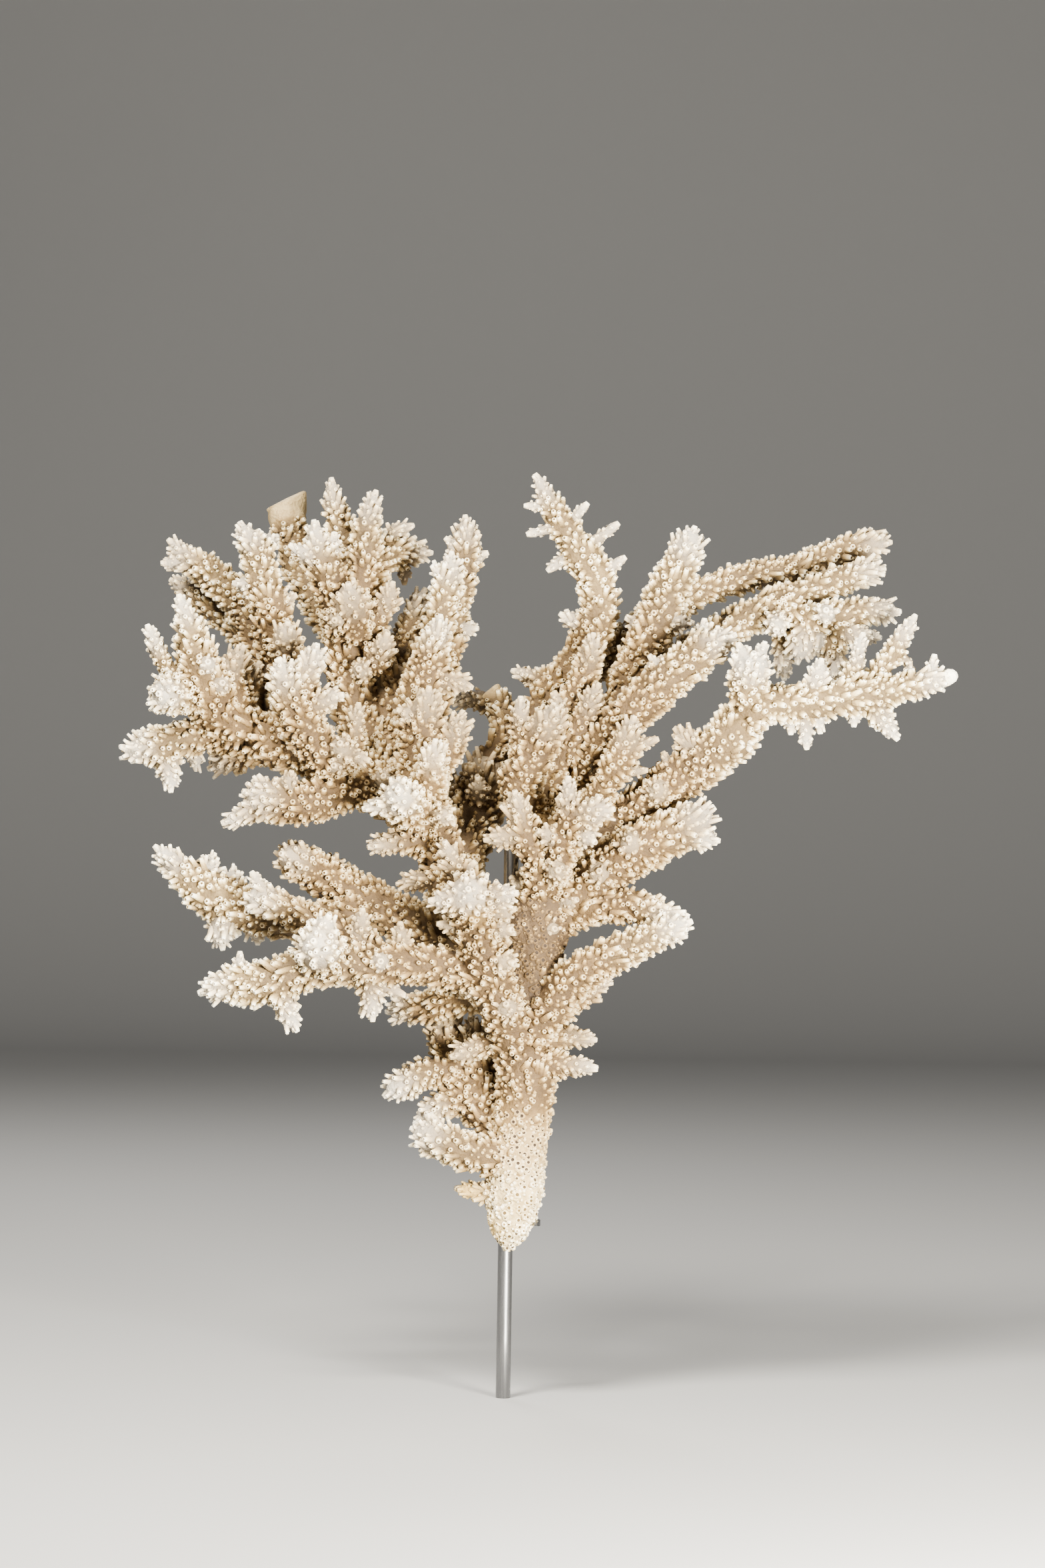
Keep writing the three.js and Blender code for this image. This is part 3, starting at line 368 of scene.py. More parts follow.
        [(-74, 237, -19, 6.5), (-70, 247, -20, 5.6), (-67.5, 255, -21, 3.4)],
        [(-70, 232, -18, 6), (-64, 237, -20, 4.6), (-59, 238.5, -21, 3)],
    ],
    "crown_stem": [
        [(-42, 205, 10, 9), (-48, 220, 20, 10), (-53, 234, 24, 10), (-56, 247, 26, 9.5),
         (-57, 258, 26, 9), (-57, 264, 26, 8)],
        [(-44, 212, 14, 8), (-41, 226, 22, 8.5), (-41, 239, 26, 8.5), (-44, 250, 27, 7)],
        [(-55, 258, 20, 7.5), (-56, 270, 8, 7), (-57, 276, 4, 5)],
        [(-52, 255, 21, 7), (-47, 264, 16, 5), (-43.5, 271, 14, 4.8), (-42, 276.5, 14, 3)],
        [(-48, 247, 20, 6.5), (-45, 255, 12, 5.3), (-43.5, 259.5, 9, 3.4)],
        [(-52, 246, 18, 5), (-53, 247.5, 9, 3.4)],
    ],
    "crown_rear_branch": [
        [(-53, 240, 28, 7.5), (-52, 244, 42, 6.5), (-54, 250, 54, 5.5), (-55, 256, 62, 3.5)],
        [(-54, 250, 50, 4.5), (-63, 253, 56, 3.2)],
    ],
    "crown_front": [
        [(-58, 257, 22, 7.5), (-60, 268, 17, 7.8), (-63, 277, 12, 7.3), (-66, 284, 8, 6.8),
         (-68, 291, 7, 4.8), (-69, 297, 7, 2.6)],
        [(-67, 283, 6, 4), (-76.5, 289, 3, 2.4)],
        [(-64, 285, 8, 4.5), (-62, 293, 8, 3)],
        [(-60, 265, 14, 6), (-61.5, 264, 5, 4.6)],
    ],
    "crown_left": [
        [(-57, 258, 28, 7), (-56, 275, 30, 7), (-58, 287, 31, 6.5), (-60.5, 297, 31, 5.8),
         (-62.5, 305, 31, 4.5), (-63.3, 311.5, 31, 2.5)],
    ],
    "crown_right": [
        [(-54, 259, 24, 7), (-52.5, 274, 22, 7), (-51.5, 285, 21, 6.8), (-51, 294, 20, 6),
         (-50, 301, 20, 4.8), (-48.3, 307.5, 20, 2.5)],
        [(-53, 266, 18, 5), (-51.5, 265.5, 9, 4)],
    ],
    "crown_far_right": [
        [(-52, 272, 25, 7), (-48, 282, 30, 6.6), (-43, 286.5, 34, 6.5), (-37, 287.5, 38, 6),
         (-29.5, 287.5, 40, 3)],
        [(-48, 284, 31, 5), (-42, 294, 38, 4), (-36, 296.5, 40, 3)],
        [(-38, 283, 38, 3.5), (-38, 277.5, 39, 2.4)],
    ],
    "crown_broken": [
        [(-57, 256, 31, 7), (-66, 268, 47, 7), (-73, 280, 57, 7), (-76, 290, 61, 7), (-78, 298, 64, 7.8),
         (-78.5, 304.5, 65, 8)],
    ],
    "upper_stem": [
        [(14, 172, -8, 8.5), (13, 186, -1, 9), (10, 198, 4, 9.5), (9, 209, 7, 9), (8, 216, 10, 8)],
    ],
    "centre_front_branch": [
        [(8, 198, 0, 7), (2, 208, -9, 7.5), (7, 218, -12, 7.5), (10, 226, -14, 7.3), (12.5, 232, -15, 6),
         (13.5, 236, -15, 3.5)],
        [(5, 216, -11, 6), (3, 226, -11, 4.5), (2.5, 233, -12, 4.2), (2.3, 238, -12, 2.6)],
        [(11, 224, -12, 6), (14, 229, -8, 4.8), (15, 235, -6, 4), (14, 240, -5, 2.8)],
    ],
    "centre_spire": [
        [(9, 206, 3, 7), (13, 214, 1, 6.5), (19, 222, -3, 5.6), (24, 231, -5, 5.2), (27, 238, -6, 5),
         (28.7, 243, -6, 3)],
        [(12, 214, 2, 6), (16, 229, 3, 6), (20, 238, 3, 5.8), (24, 246, 2, 5.7), (26, 254, 1, 5.2),
         (26.7, 260, 1, 3)],
    ],
    "tall_spire": [
        [(9, 207, 7, 8), (6, 222, 14, 7.5), (9, 233, 18, 7.5), (15, 242, 19, 8), (21, 250, 18, 8),
         (26, 259, 16, 7.8), (28.5, 268, 14, 7.5), (28, 277, 13, 7.3), (24, 285, 12, 7),
         (19.5, 292, 11, 6.5), (15.5, 298, 10, 5.5), (12, 304, 10, 4.8), (9, 309.5, 10, 3.8),
         (6.5, 314, 10, 2)],
        [(11, 304, 10, 2.4), (3.5, 304, 10, 1.6)],
        [(14, 297, 10, 2.6), (4.5, 294.5, 9, 1.9)],
        [(22, 287, 12, 4), (15, 285, 12, 2.8), (11.5, 282.5, 12, 2.2)],
        [(18, 298, 10, 2.6), (23.5, 304.5, 9, 1.9)],
        [(24, 290, 11, 3), (34, 298, 10, 2.2)],
        [(29, 281, 12, 3), (36.5, 286.5, 11, 1.8)],
        [(23, 263, 15, 4), (16, 267, 14, 3.2)],
        [(13, 242, 21, 6), (6, 245.5, 26, 4), (0, 247.5, 28, 2.8)],
    ],
    "spire_rear_branch": [
        [(9, 230, 20, 7), (6, 230, 33, 6), (4, 232, 46, 4)],
    ],
    "right_upper_limb": [
        [(12, 192, 1, 8), (20, 204, 4, 9), (28, 217, 6, 9), (35, 230, 6, 9), (40, 241, 5, 8.5),
         (43, 252, 4, 8.5), (47, 263, 2, 8), (51, 273, 0, 8), (55, 283, -2, 7.5), (58.5, 291, -4, 6.5),
         (60.5, 297, -5, 4)],
        [(50, 266, 0, 5), (60, 265, -2, 4)],
        [(45, 264, 2, 4), (38.5, 266, 2, 3.2)],
        [(40, 245, 5, 5), (33, 248, 4, 4)],
    ],
    "right_upper_rear_branch": [
        [(42, 250, 6, 7.5), (46, 247, 20, 6.5), (50, 246, 34, 6), (54, 248, 45, 4)],
    ],
    "right_upper_front": [
        [(24, 210, 3, 7), (33, 226, -8, 7.5), (41, 235, -13, 8), (50, 243, -16, 8), (58, 250, -18, 8),
         (65, 255.5, -19, 7.3), (71, 259.5, -19, 5.5), (74.5, 261, -19, 3)],
        [(52, 246, -16, 4), (46.5, 253, -17, 3)],
        [(64, 257, -19, 3.5), (64.5, 265.5, -19, 2.2)],
    ],
    "right_slim_branch": [
        [(19, 200, 0, 5.5), (26, 203, -8, 5.5), (31, 208, -14, 5.5), (35, 216, -18, 6),
         (38.5, 225, -21, 5.8), (41, 232, -22, 3.3)],
        [(39, 222, -20, 3), (48.5, 225, -20, 2.4)],
        [(35, 214, -17, 3), (45, 214.5, -18, 2.6)],
    ],
    "right_top_limb": [
        [(13, 240, 20, 7), (22, 246, 28, 7.5), (33, 254, 32, 7.5), (45, 264, 35, 7), (57, 272, 36, 6.5),
         (68, 277.5, 37, 6), (80, 281, 38, 6), (92, 283, 39, 6), (103, 286.5, 40, 6.3),
         (113, 290.5, 40, 6.5), (121, 293, 40, 6), (127, 293.5, 40, 3.8)],
    ],
    "right_second_limb": [
        [(42, 240, 8, 7.5), (56, 252, 18, 7.5), (66, 258.5, 20, 7.5), (76, 265, 21, 7),
         (87, 270.5, 22, 6.8), (98, 275, 22, 6.5), (109, 279.5, 22, 6.2), (118, 283, 22, 5.8),
         (125, 284.5, 22, 4.5)],
    ],
    "right_third_limb": [
        [(89, 271, 21, 6), (100, 267, 15, 6), (109, 268, 12, 6), (119, 270, 12, 5.3), (126, 270, 13, 5),
         (130.5, 270, 13, 3.5)],
        [(100, 266, 14, 6), (98, 259, 13, 6.5), (96.5, 252.5, 13, 4)],
        [(104, 265, 13, 5), (104, 255, 14, 3.8)],
        [(107, 266, 12, 6), (116, 262, 10, 4.5), (124, 261, 9, 3)],
        [(109, 264, 13, 5.5), (109, 253, 13, 4.6), (110, 246, 9, 3.8)],
        [(106, 268, 9, 5), (106, 270, 2, 4)],
        [(90, 268, 18, 5), (89, 263, 5, 4.4)],
        [(90, 268, 20, 4.5), (91.5, 256, 19, 4.4), (92, 247, 18, 3.6)],
    ],
    "right_reaching_limb": [
        [(19, 181, -3, 7.5), (32, 192, -6, 8), (44, 202, -9, 8.5), (56, 211, -13, 8.5),
         (66, 218.5, -17, 8.8), (74, 226, -21, 9), (79, 234, -22, 8)],
        [(76, 227, -22, 7), (80.5, 222.5, -25, 5)],
        [(50, 206, -13, 6), (49, 209, -23, 4.5)],
        [(63, 219, -17, 6), (60, 224, -18, 5.5), (55.5, 228.5, -18, 4)],
        [(55, 213, -14, 4), (51.5, 220, -14, 2.8)],
    ],
    "right_rear_branch": [
        [(50, 207, -6, 7.5), (52, 205, 8, 6.5), (54, 204, 22, 6), (56, 205, 33, 4)],
    ],
    "right_reaching_tip": [
        [(75, 231, -21, 7), (86, 238, -22, 7), (98, 239, -21, 7), (110, 240, -20, 6.8),
         (121, 242, -19, 6.3), (132, 244, -18, 5.5), (141, 246, -17, 5), (148, 248, -16, 4.2)],
        [(79, 236, -24, 7), (80, 246, -28, 8), (81, 251, -31, 7.5), (81.5, 254.5, -34, 5)],
        [(79, 252, -31, 3), (76.5, 257.5, -31, 2)],
        [(83, 252, -31, 3), (85, 258, -31, 2)],
        [(102, 241, -22, 4.8), (103.5, 248, -23, 4), (104.5, 252.5, -23, 2.8)],
        [(99, 236, -20, 4), (100, 223.5, -20, 2.4)],
        [(94, 235, -20, 3), (94.5, 228.5, -20, 2)],
        [(104, 236, -20, 3), (104.5, 229, -20, 2)],
        [(116, 238, -19, 3), (116, 231.5, -19, 2.2)],
        [(121, 240, -18, 5), (126, 233, -18, 4.6), (130.5, 227, -18, 2.8)],
        [(114, 243, -17, 5), (116.5, 253, -16, 3.8), (118.5, 261.5, -16, 2.6)],
        [(121, 243, -16, 5), (127, 253, -12, 4.3), (132, 261, -11, 4), (136, 268, -10, 2.6)],
        [(131, 255, -11, 2.4), (134.5, 252.5, -11, 1.8), (134.5, 245.5, -15, 1.8)],
        [(142, 247, -17, 2.4), (143, 254.5, -17, 1.8)],
    ],
    "right_wide_limb": [
        [(12, 170, -11, 8.5), (22, 172, -13, 9), (32, 180, -16, 9.5), (42, 187, -20, 9.5),
         (52, 192, -22, 9), (61, 197, -24, 7.5), (68, 202, -24, 4.6)],
        [(60, 192, -23, 5), (70, 191, -24, 4)],
        [(41, 188, -22, 6), (40, 191, -31, 4.2)],
        [(30, 179, -18, 6), (30, 180, -27, 4.2)],
    ],
    "right_inner_limb": [
        [(12, 160, -11, 6.5), (22, 165, -14, 6), (32, 168, -18, 6.5), (42, 168, -22, 6.5),
         (52, 165, -26, 6), (59, 162, -28, 4)],
    ],
    "right_low_limb": [
        [(6, 122, -16, 7.5), (13, 131, -20, 7.5), (19, 140, -23, 7.5), (27, 147, -26, 7.5),
         (37, 152, -28, 7), (47, 157, -30, 6.5), (56, 161, -31, 5.5), (61, 163, -31, 3.5)],
        [(9, 127, -12, 6), (20, 134, -6, 6), (28, 140, -5, 5), (34, 145, -4, 3.6)],
    ],
    "star_branch": [
        [(13, 171, -13, 6.5), (15, 181, -22, 6), (18, 189, -27, 6.5), (22, 196, -31, 6.5),
         (28, 200, -34, 6), (34, 201, -36, 3.6)],
        [(19, 196, -30, 5), (19, 204, -32, 4), (19, 211, -32, 2.6)],
        [(17, 190, -28, 5), (9.5, 193, -32, 3.4)],
        [(15, 179, -23, 5), (16, 180, -33, 4.4)],
        [(23, 193, -32, 4.5), (28, 190, -38, 3.6)],
    ],
    "front_centre_branch": [
        [(11, 168, -14, 6), (8.5, 178, -20, 5.6), (7.5, 187, -24, 5.8), (3, 198, -27, 5.8),
         (1, 206, -29, 4)],
        [(5, 190, -25, 5.5), (-2, 191, -27, 4.8), (-8.5, 190, -28, 3.4)],
    ],
}

PRONG_ROUTE = [
    (0, 150, 2),
    (1, 160, 8),
    (6, 174, 15),
    (15, 188, 18),
    (23, 200, 14),
    (26.5, 209, 3),
    (26.8, 214, -5),
    (26.8, 219, -7.5),
]

# Stems where the surface is worn and most cups are only pores: the lowest and the highest worn height,
# and how much paler the worn surface is, or darker below 0
WORN = {"trunk": (40, 106, 0.52), "middle_stem": (122, 176, -0.12)}
WORN_FADE = 14
WORN_SHARE = 0.8

# Stems that end in a flat break in place of a growing tip: the length of the bare end and its slant
BREAK_LENGTH = {"crown_broken": 11, "back_arch": 4}
BREAK_SLANT = {"crown_broken": 0.45, "back_arch": 0.1}
BREAK_FACING = np.array((0.8, 0.5, 0.33))
BREAK_FADE = 3

# The last two rings of a break: how far on they lie and their share of the radius
BREAK_BEVEL = ((0.3, 0.95), (0.5, 0.86))

# Tones are counted as lifts: -0.4 and below for the darkest hollows, and 1 for the palest rims. The dark low
# lifts are painted shade in the hollows between cups and down in holes and pores, over the tan the coral has
# there.
# Painted shade: the body between the cups sits low on the ramp.
BODY_LIFT = 0.04
LUMP_LIFT = 0.1
END_LIFT = 0.2
BREAK_LIFT = 0.5
CUP_LIFT_SPREAD = 0.07
RIM_LIFT = 0.5
WORN_LIFT_OFFSET = 0.15
WORN_CUP_SHARE = 0.5

# Rust-coloured stains: across, up, deep, radius and strength
STAINS = [
    (-5, 57, -16, 5, 0.6),
    (-14, 70.5, -16, 7, 0.85),
    (4, 66, -22, 7, 0.25),
    (-12, 164, -45, 2.4, 0.5),
]


def place(points):
    """The points of a table as they stand in space, and their radii."""
    table = np.array([p if len(p) == 4 else (*p, 0) for p in points], float)
    spread = 1 + table[:, 2] / EYE_DISTANCE
    x = EYE_ACROSS + (table[:, 0] - EYE_ACROSS) * spread
    z = EYE_UP + (table[:, 1] - EYE_UP) * spread
    return np.stack([x, table[:, 2], z], axis=1), table[:, 3]


def smooth_path(points, step):
    """A centripetal curve through the points, sampled every step, and the radius at each sample."""
    knots, radii = place(points)
    knots = np.vstack([2 * knots[0] - knots[1], knots, 2 * knots[-1] - knots[-2]])
    samples = []
    sample_radii = []
    for i in range(len(radii) - 1):
        a, b, c, d = knots[i : i + 4]
        spans = ((a, b), (b, c), (c, d))
        before, across, after = (max(np.linalg.norm(q - p) ** 0.5, 1e-4) for p, q in spans)
        leave = ((b - a) / before - (c - a) / (before + across) + (c - b) / across) * across
        arrive = ((c - b) / across - (d - b) / (across + after) + (d - c) / after) * across
        t = np.linspace(0, 1, CURVE_SAMPLES, endpoint=i == len(radii) - 2)[:, None]
        curve = (2 * t**3 - 3 * t**2 + 1) * b + (t**3 - 2 * t**2 + t) * leave
        samples.append(curve + (-2 * t**3 + 3 * t**2) * c + (t**3 - t**2) * arrive)
        sample_radii.append(radii[i] + (radii[i + 1] - radii[i]) * t[:, 0])
    samples = np.vstack(samples)
    sample_radii = np.concatenate(sample_radii)
    arc = np.concatenate([[0], np.cumsum(np.linalg.norm(np.diff(samples, axis=0), axis=1))])
    count = max(4, round(arc[-1] / step) + 1)
    even = np.linspace(0, arc[-1], count)
    path = np.stack([np.interp(even, arc, samples[:, k]) for k in range(3)], axis=1)
    return path, np.interp(even, arc, sample_radii), even


def unit(vectors):
    """The vectors brought to length 1."""
    return vectors / np.maximum(np.linalg.norm(vectors, axis=-1, keepdims=True), 1e-9)


def frames_along(path):
    """The tangent of a path at each sample and two directions across it that turn as little as they can."""
    tangents = unit(np.gradient(path, axis=0))
    normal = np.cross(tangents[0], (0.31, 0.86, 0.41))
    normals = []
    for tangent in tangents:
        normal = normal - tangent * (normal @ tangent)
        normal = normal / np.linalg.norm(normal)
        normals.append(normal)
    normals = np.array(normals)
    return tangents, normals, np.cross(tangents, normals)


def directions_around(first, second, sides):
    """Even directions round many axes at once, from two directions across each axis."""
    angles = np.arange(sides) * 2 * math.pi / sides
    return first[:, None] * np.cos(angles)[None, :, None] + second[:, None] * np.sin(angles)[None, :, None]


class Branch:
    """One branch of a limb: its axis, its radii and how worn it is along its length."""

    def __init__(self, limb, points, is_stem):
        self.limb = limb
        self.is_stem = is_stem
        self.broken = is_stem and limb in BREAK_LENGTH
        self.path, self.outer, self.arc = smooth_path(points, BODY_STEP)
        self.tangents, self.normals, self.binormals = frames_along(self.path)
        self.length = self.arc[-1]
        self.worn = np.zeros(len(self.arc))
        self.worn_lift = BREAK_LIFT
        if is_stem and limb in WORN:
            low, high, self.worn_lift = WORN[limb]
            height = self.path[:, 2]
            self.worn = np.clip(np.minimum(height - low, high - height) / WORN_FADE, 0, 1)
        if self.broken:
            self.worn = np.clip((self.arc - self.length + BREAK_LENGTH[limb]) / BREAK_FADE, 0, 1)
        self.phase = rng.uniform(0, 2 * math.pi)
        self.find_body()

    def find_body(self):
        """Works out the radius of the body and how steeply the branch narrows."""
        full = np.maximum(self.outer - CUP_REACH, BODY_SHARE * self.outer)
        self.body = full + (self.outer - WORN_REACH - full) * self.worn
        self.slope = np.clip(-np.gradient(self.outer, self.arc), *SLOPE_RANGE)

    def round_off(self, beyond, end_radius):
        """Rounds an end off. Beyond is how far each sample lies past that end, and below 0 before it."""
        zone = max(0.9 * end_radius, 1)
        share = np.clip(beyond / zone + 1, 0, 1)
        least = np.minimum(TIP_RADIUS, self.outer)
        self.outer = least + (self.outer - least) * np.sqrt(1 - share**2)

    def at(self, values, arc):
        """A quantity of the branch at the given arc lengths."""
        if values.ndim == 1:
            return np.interp(arc, self.arc, values)
        return np.stack([np.interp(arc, self.arc, values[:, k]) for k in range(3)], axis=1)


branches = [Branch(limb, points, i == 0) for limb, table in LIMBS.items() for i, points in enumerate(table)]
axis_points = np.vstack([b.path for b in branches])
axis_radii = np.concatenate([b.body for b in branches])
axis_owner = np.concatenate([np.full(len(b.path), k) for k, b in enumerate(branches)])


def depth_outside(points, owner):
    """How far each point lies outside the bodies of all other branches; below 0 it is inside one."""
    low = points.min(axis=0) - FILLET_BAND
    high = points.max(axis=0) + FILLET_BAND
    near = np.all((axis_points > low) & (axis_points < high), axis=1) & (axis_owner != owner)
    if not near.any():
        return np.full(len(points), NOTHING_NEAR)
    centres = axis_points[near]
    radii = axis_radii[near]
    squared = (points**2).sum(1)[:, None] + (centres**2).sum(1)[None] - 2 * points @ centres.T
    return (np.sqrt(np.maximum(squared, 0)) - radii[None]).min(axis=1)


def round_ends():
    """Rounds off every start and every free tip. A tip inside another branch keeps its full width."""
    for owner, branch in enumerate(branches):
        branch.free = not branch.broken and depth_outside(branch.path[-1:], owner)[0] > INSIDE
    for branch in branches:
        if branch.free:
            branch.round_off(branch.arc - branch.length, branch.outer[-1])
        if not (branch.is_stem and branch.limb == "trunk"):
            branch.round_off(-branch.arc, branch.outer[0])
        branch.find_body()
    axis_radii[:] = np.concatenate([b.body for b in branches])


def find_brownness():
    """How much painted shade each stretch gets, from 0 to 1: the more branches stand round it, and the
    further back it lies, the browner.
    """
    for branch in branches:
        squared = ((branch.path[:, None] - axis_points[None]) ** 2).sum(axis=2)
        nearness = np.exp(-squared / (2 * CROWDED_RANGE**2))
        volume = nearness * (axis_radii**2)[None] * BODY_STEP / CROWDED_UNIT
        crowded = np.clip((volume.sum(axis=1) - CROWDED_FROM) / (CROWDED_TO - CROWDED_FROM), 0, 1)
        rear = np.clip((branch.path[:, 1] - REAR_FROM) / (REAR_TO - REAR_FROM), 0, 1)
        # Painted shade: browner where many branches crowd round, and towards the rear.
        branch.brown = np.maximum(crowded, REAR_PAINTED_SHADE * rear)


def fillet_height(points, owner):
    """How far a surface swells where it comes close to another branch."""
    return np.maximum(FILLET - np.abs(depth_outside(points, owner)), 0) ** 2 / (4 * FILLET)


def lumps(points):
    """A smooth uneven height over space, from about -1 to 1."""
    x, y, z = (points * 0.55).T
    waves = np.sin(x * 1.7 + 1.3 * np.sin(z * 0.9)) + np.sin(y * 1.9 + 2.1 * np.sin(x)) + np.sin(z * 2.3 + y)
    return waves / 3


def body_height(points, owner, radii, worn):
    """How far a branch's body stands out beyond its plain tube. Slim branches are less lumpy."""
    lumpy = LUMP_HEIGHT * (1 + worn) * lumps(points)
    return (lumpy + fillet_height(points, owner)) * np.minimum(radii / FULL_LUMPS_FROM, 1)


def stain_at(points):
    """How stained each point is, from 0 to 1."""
    centres, _ = place([s[:3] for s in STAINS])
    stain = np.zeros(len(points))
    for centre, (_, _, _, radius, strength) in zip(centres, STAINS):
        distance = np.linalg.norm(points - centre, axis=1)
        stain = np.maximum(stain, strength * np.exp(-((distance / radius) ** 2)))
    return stain


class Surface:
    """Vertices, faces and vertex values of one piece, gathered bit by bit."""

    def __init__(self):
        self.points = []
        self.faces = []
        self.values = {"lift": [], "tip_pale_and_highlight": [], "stain": [], "brown": []}
        self.count = 0

    def add(self, points, faces, lift, tip_pale_and_highlight, brown):
        """Adds points and faces, with a lift, a paleness that is partly painted highlight and an amount of
        painted shade for each point.
        """
        self.points.append(points)
        self.faces.append(faces + self.count)
        self.values["lift"].append(lift)
        self.values["tip_pale_and_highlight"].append(tip_pale_and_highlight)
        self.values["brown"].append(brown)
        self.values["stain"].append(stain_at(points))
        self.count += len(points)

    def build(self, name, material):
        """Makes the object, in metres."""
        mesh = bpy.data.meshes.new(name)
        points = np.vstack(self.points) * MM
        mesh.from_pydata(points.tolist(), [], np.vstack(self.faces).tolist())
        for key, parts in self.values.items():
            attribute = mesh.attributes.new(key, "FLOAT", "POINT")
            attribute.data.foreach_set("value", np.concatenate(parts).astype(np.float32))
        mesh.shade_smooth()
        mesh.materials.append(material)
        piece = bpy.data.objects.new(name, mesh)
        bpy.context.scene.collection.objects.link(piece)
        return piece


def tube_faces(rows, sides):
    """Triangles of an open tube of rings."""
    i, j = np.meshgrid(np.arange(rows - 1), np.arange(sides), indexing="ij")
    a = i * sides + j
    b = i * sides + (j + 1) % sides
    c = b + sides
    d = a + sides
    halves = (np.stack([a, b, c], -1), np.stack([a, c, d], -1))
    return np.concatenate([half.reshape(-1, 3) for half in halves])


def cap_faces(ring_start, centre, sides, outward):
    """Triangles between a ring and a point in its middle."""
    j = np.arange(sides)
    a = ring_start + j
    b = ring_start + (j + 1) % sides
    middle = np.full(sides, centre)
    return np.stack([a, b, middle] if outward else [b, a, middle], -1)


def closed_tube_faces(rows, sides):
    """Triangles of a tube and of its two ends, whose middle points come after the rings."""
    count = rows * sides
    return np.vstack([
        tube_faces(rows, sides),
        cap_faces(0, count, sides, False),
        cap_faces(count - sides, count + 1, sides, True),
    ])


def tip_distance(branch, arc):
    """1 at a growing tip, falling to 0 at the far side of the tip zone."""
    if not branch.free:
        return np.zeros_like(arc)
    return np.clip(1 - (branch.length - arc) / TIP_ZONE, 0, 1)


def body_sides(branch):
    """How many sides a body has."""
    if branch.worn.any():
        return WORN_SIDES
    return BODY_SIDES if branch.body.max() > SLIM_RADIUS else SLIM_SIDES


def body_rings(branch):
    """Centres, radii, arc lengths and path samples of a body's rings, up to its dome or its break."""
    tip = branch.body[-1]
    if branch.broken:
        beyond, scale = np.array(BREAK_BEVEL).T
        rows = np.arange(len(branch.path) + len(beyond))
    else:
        dome = np.array(DOME) * tip
        beyond = dome - tip
        scale = np.sqrt(1 - (dome / tip) ** 2)
        keep = branch.arc < branch.length - tip * 0.9
        keep[:2] = True
        dome_rows = np.arange(len(branch.path), len(branch.path) + len(dome))
        rows = np.concatenate([np.flatnonzero(keep), dome_rows])
    ends = branch.path[-1] + beyond[:, None] * branch.tangents[-1]
    centres = np.vstack([branch.path, ends])[rows]
    radii = np.concatenate([branch.body, tip * scale])[rows]
    arc = np.concatenate([branch.arc, np.full(len(beyond), branch.length)])[rows]
    return centres, radii, arc, np.minimum(rows, len(branch.path) - 1)


def slant_of(branch, arc, outward):
    """How far each point near a break is moved along the branch, so that the break slants."""
    share = np.clip((arc - branch.length + BREAK_FADE) / BREAK_FADE, 0, 1)
    last_rings = np.repeat(share, len(outward) // len(arc))
    return last_rings * BREAK_SLANT[branch.limb] * (outward @ BREAK_FACING) * branch.body[-1]


def add_body(surface, branch, owner):
    """The tube that carries a branch's cups, with a dome at its tip and fillets where it meets others."""
    sides = body_sides(branch)
    centres, radii, arc, samples = body_rings(branch)
    out = directions_around(branch.normals[samples], branch.binormals[samples], sides)
    flat = (centres[:, None] + out * radii[:, None, None]).reshape(-1, 3)
    outward = out.reshape(-1, 3)
    worn = np.interp(arc, branch.arc, branch.worn)
    height = body_height(flat, owner, np.repeat(radii, sides), np.repeat(worn, sides))
    flat = flat + outward * height[:, None]
    if branch.broken:
        flat = flat + branch.tangents[-1] * slant_of(branch, arc, outward)[:, None]
    end = centres[-1] + branch.tangents[-1] * 0.05 * branch.body[-1]
    lift = np.repeat(BODY_LIFT + branch.worn_lift * worn, sides) + LUMP_LIFT * lumps(flat * 1.7)
    lift = np.append(lift, [END_LIFT, BREAK_LIFT if branch.broken else END_LIFT])
    # Tips get paler: partly the coral's own whiter growing tips, partly painted highlight.
    tip_pale_and_highlight = np.append(np.repeat(tip_distance(branch, arc), sides), [0, 1])
    brown = np.interp(arc, branch.arc, branch.brown)
    brown = np.append(np.repeat(brown, sides), [brown[0], brown[-1]])
    surface.add(np.vstack([flat, centres[0], end]), closed_tube_faces(len(centres), sides), lift, tip_pale_and_highlight, brown)


def cup_points(base, direction, radius, length, profile, sides):
    """Rings of many cups at once, and the point that closes each of them.

    The profile holds (share of length, share of radius) pairs, and the closing point comes last.
    """
    side = unit(np.cross(direction, (0.43, -0.61, 0.27)))
    around = directions_around(side, np.cross(direction, side), sides)
    rings = []
    for along, wide in profile[:-1]:
        centre = base + direction * (length * along)[:, None]
        rings.append(centre[:, None] + around * (radius * wide)[:, None, None])
    floor = base + direction * (length * profile[-1][0])[:, None]
    return np.concatenate([np.concatenate(rings, axis=1), floor[:, None]], axis=1)


# Outlines from the base over the rim to the bottom of the hole, or to the top where there is no hole,
# as shares of the length and the radius, and how high each ring counts for its tone, which paints shade into
# the holes
CUP_PROFILE = ((-0.3, 1.35), (0.5, 1.0), (0.97, 0.66), (0.93, 0.38), (0.45, 0))
CUP_LIFT = (0.0, 0.5, 1.0, 0.3, -0.4)
SMALL_PROFILE = ((-0.4, 1.6), (0.8, 0.9), (0.95, 0.35), (0.7, 0))
SMALL_LIFT = (0.1, 0.75, 0.6, -0.1)
NUB_PROFILE = ((-0.5, 1.5), (0.65, 0.85), (1.0, 0))
NUB_LIFT = (0.12, 0.5, 0.75)
PORE_PROFILE = ((-0.7, 2.3), (0.7, 1.5), (1.0, 1.0), (0.8, 0.85), (0.5, 0))
# The insides of the pores are painted near black as shade.
PORE_LIFT = (0.2, 0.38, 0.42, -1.0, -1.2)
BULB_PROFILE = ((-0.5, 0.6), (0.0, 0.95), (0.4, 1.0), (0.75, 0.78), (0.95, 0.4), (1.0, 0))
BULB_LIFT = (0.6, 0.8, 0.95, 1.0, 1.0, 1.0)


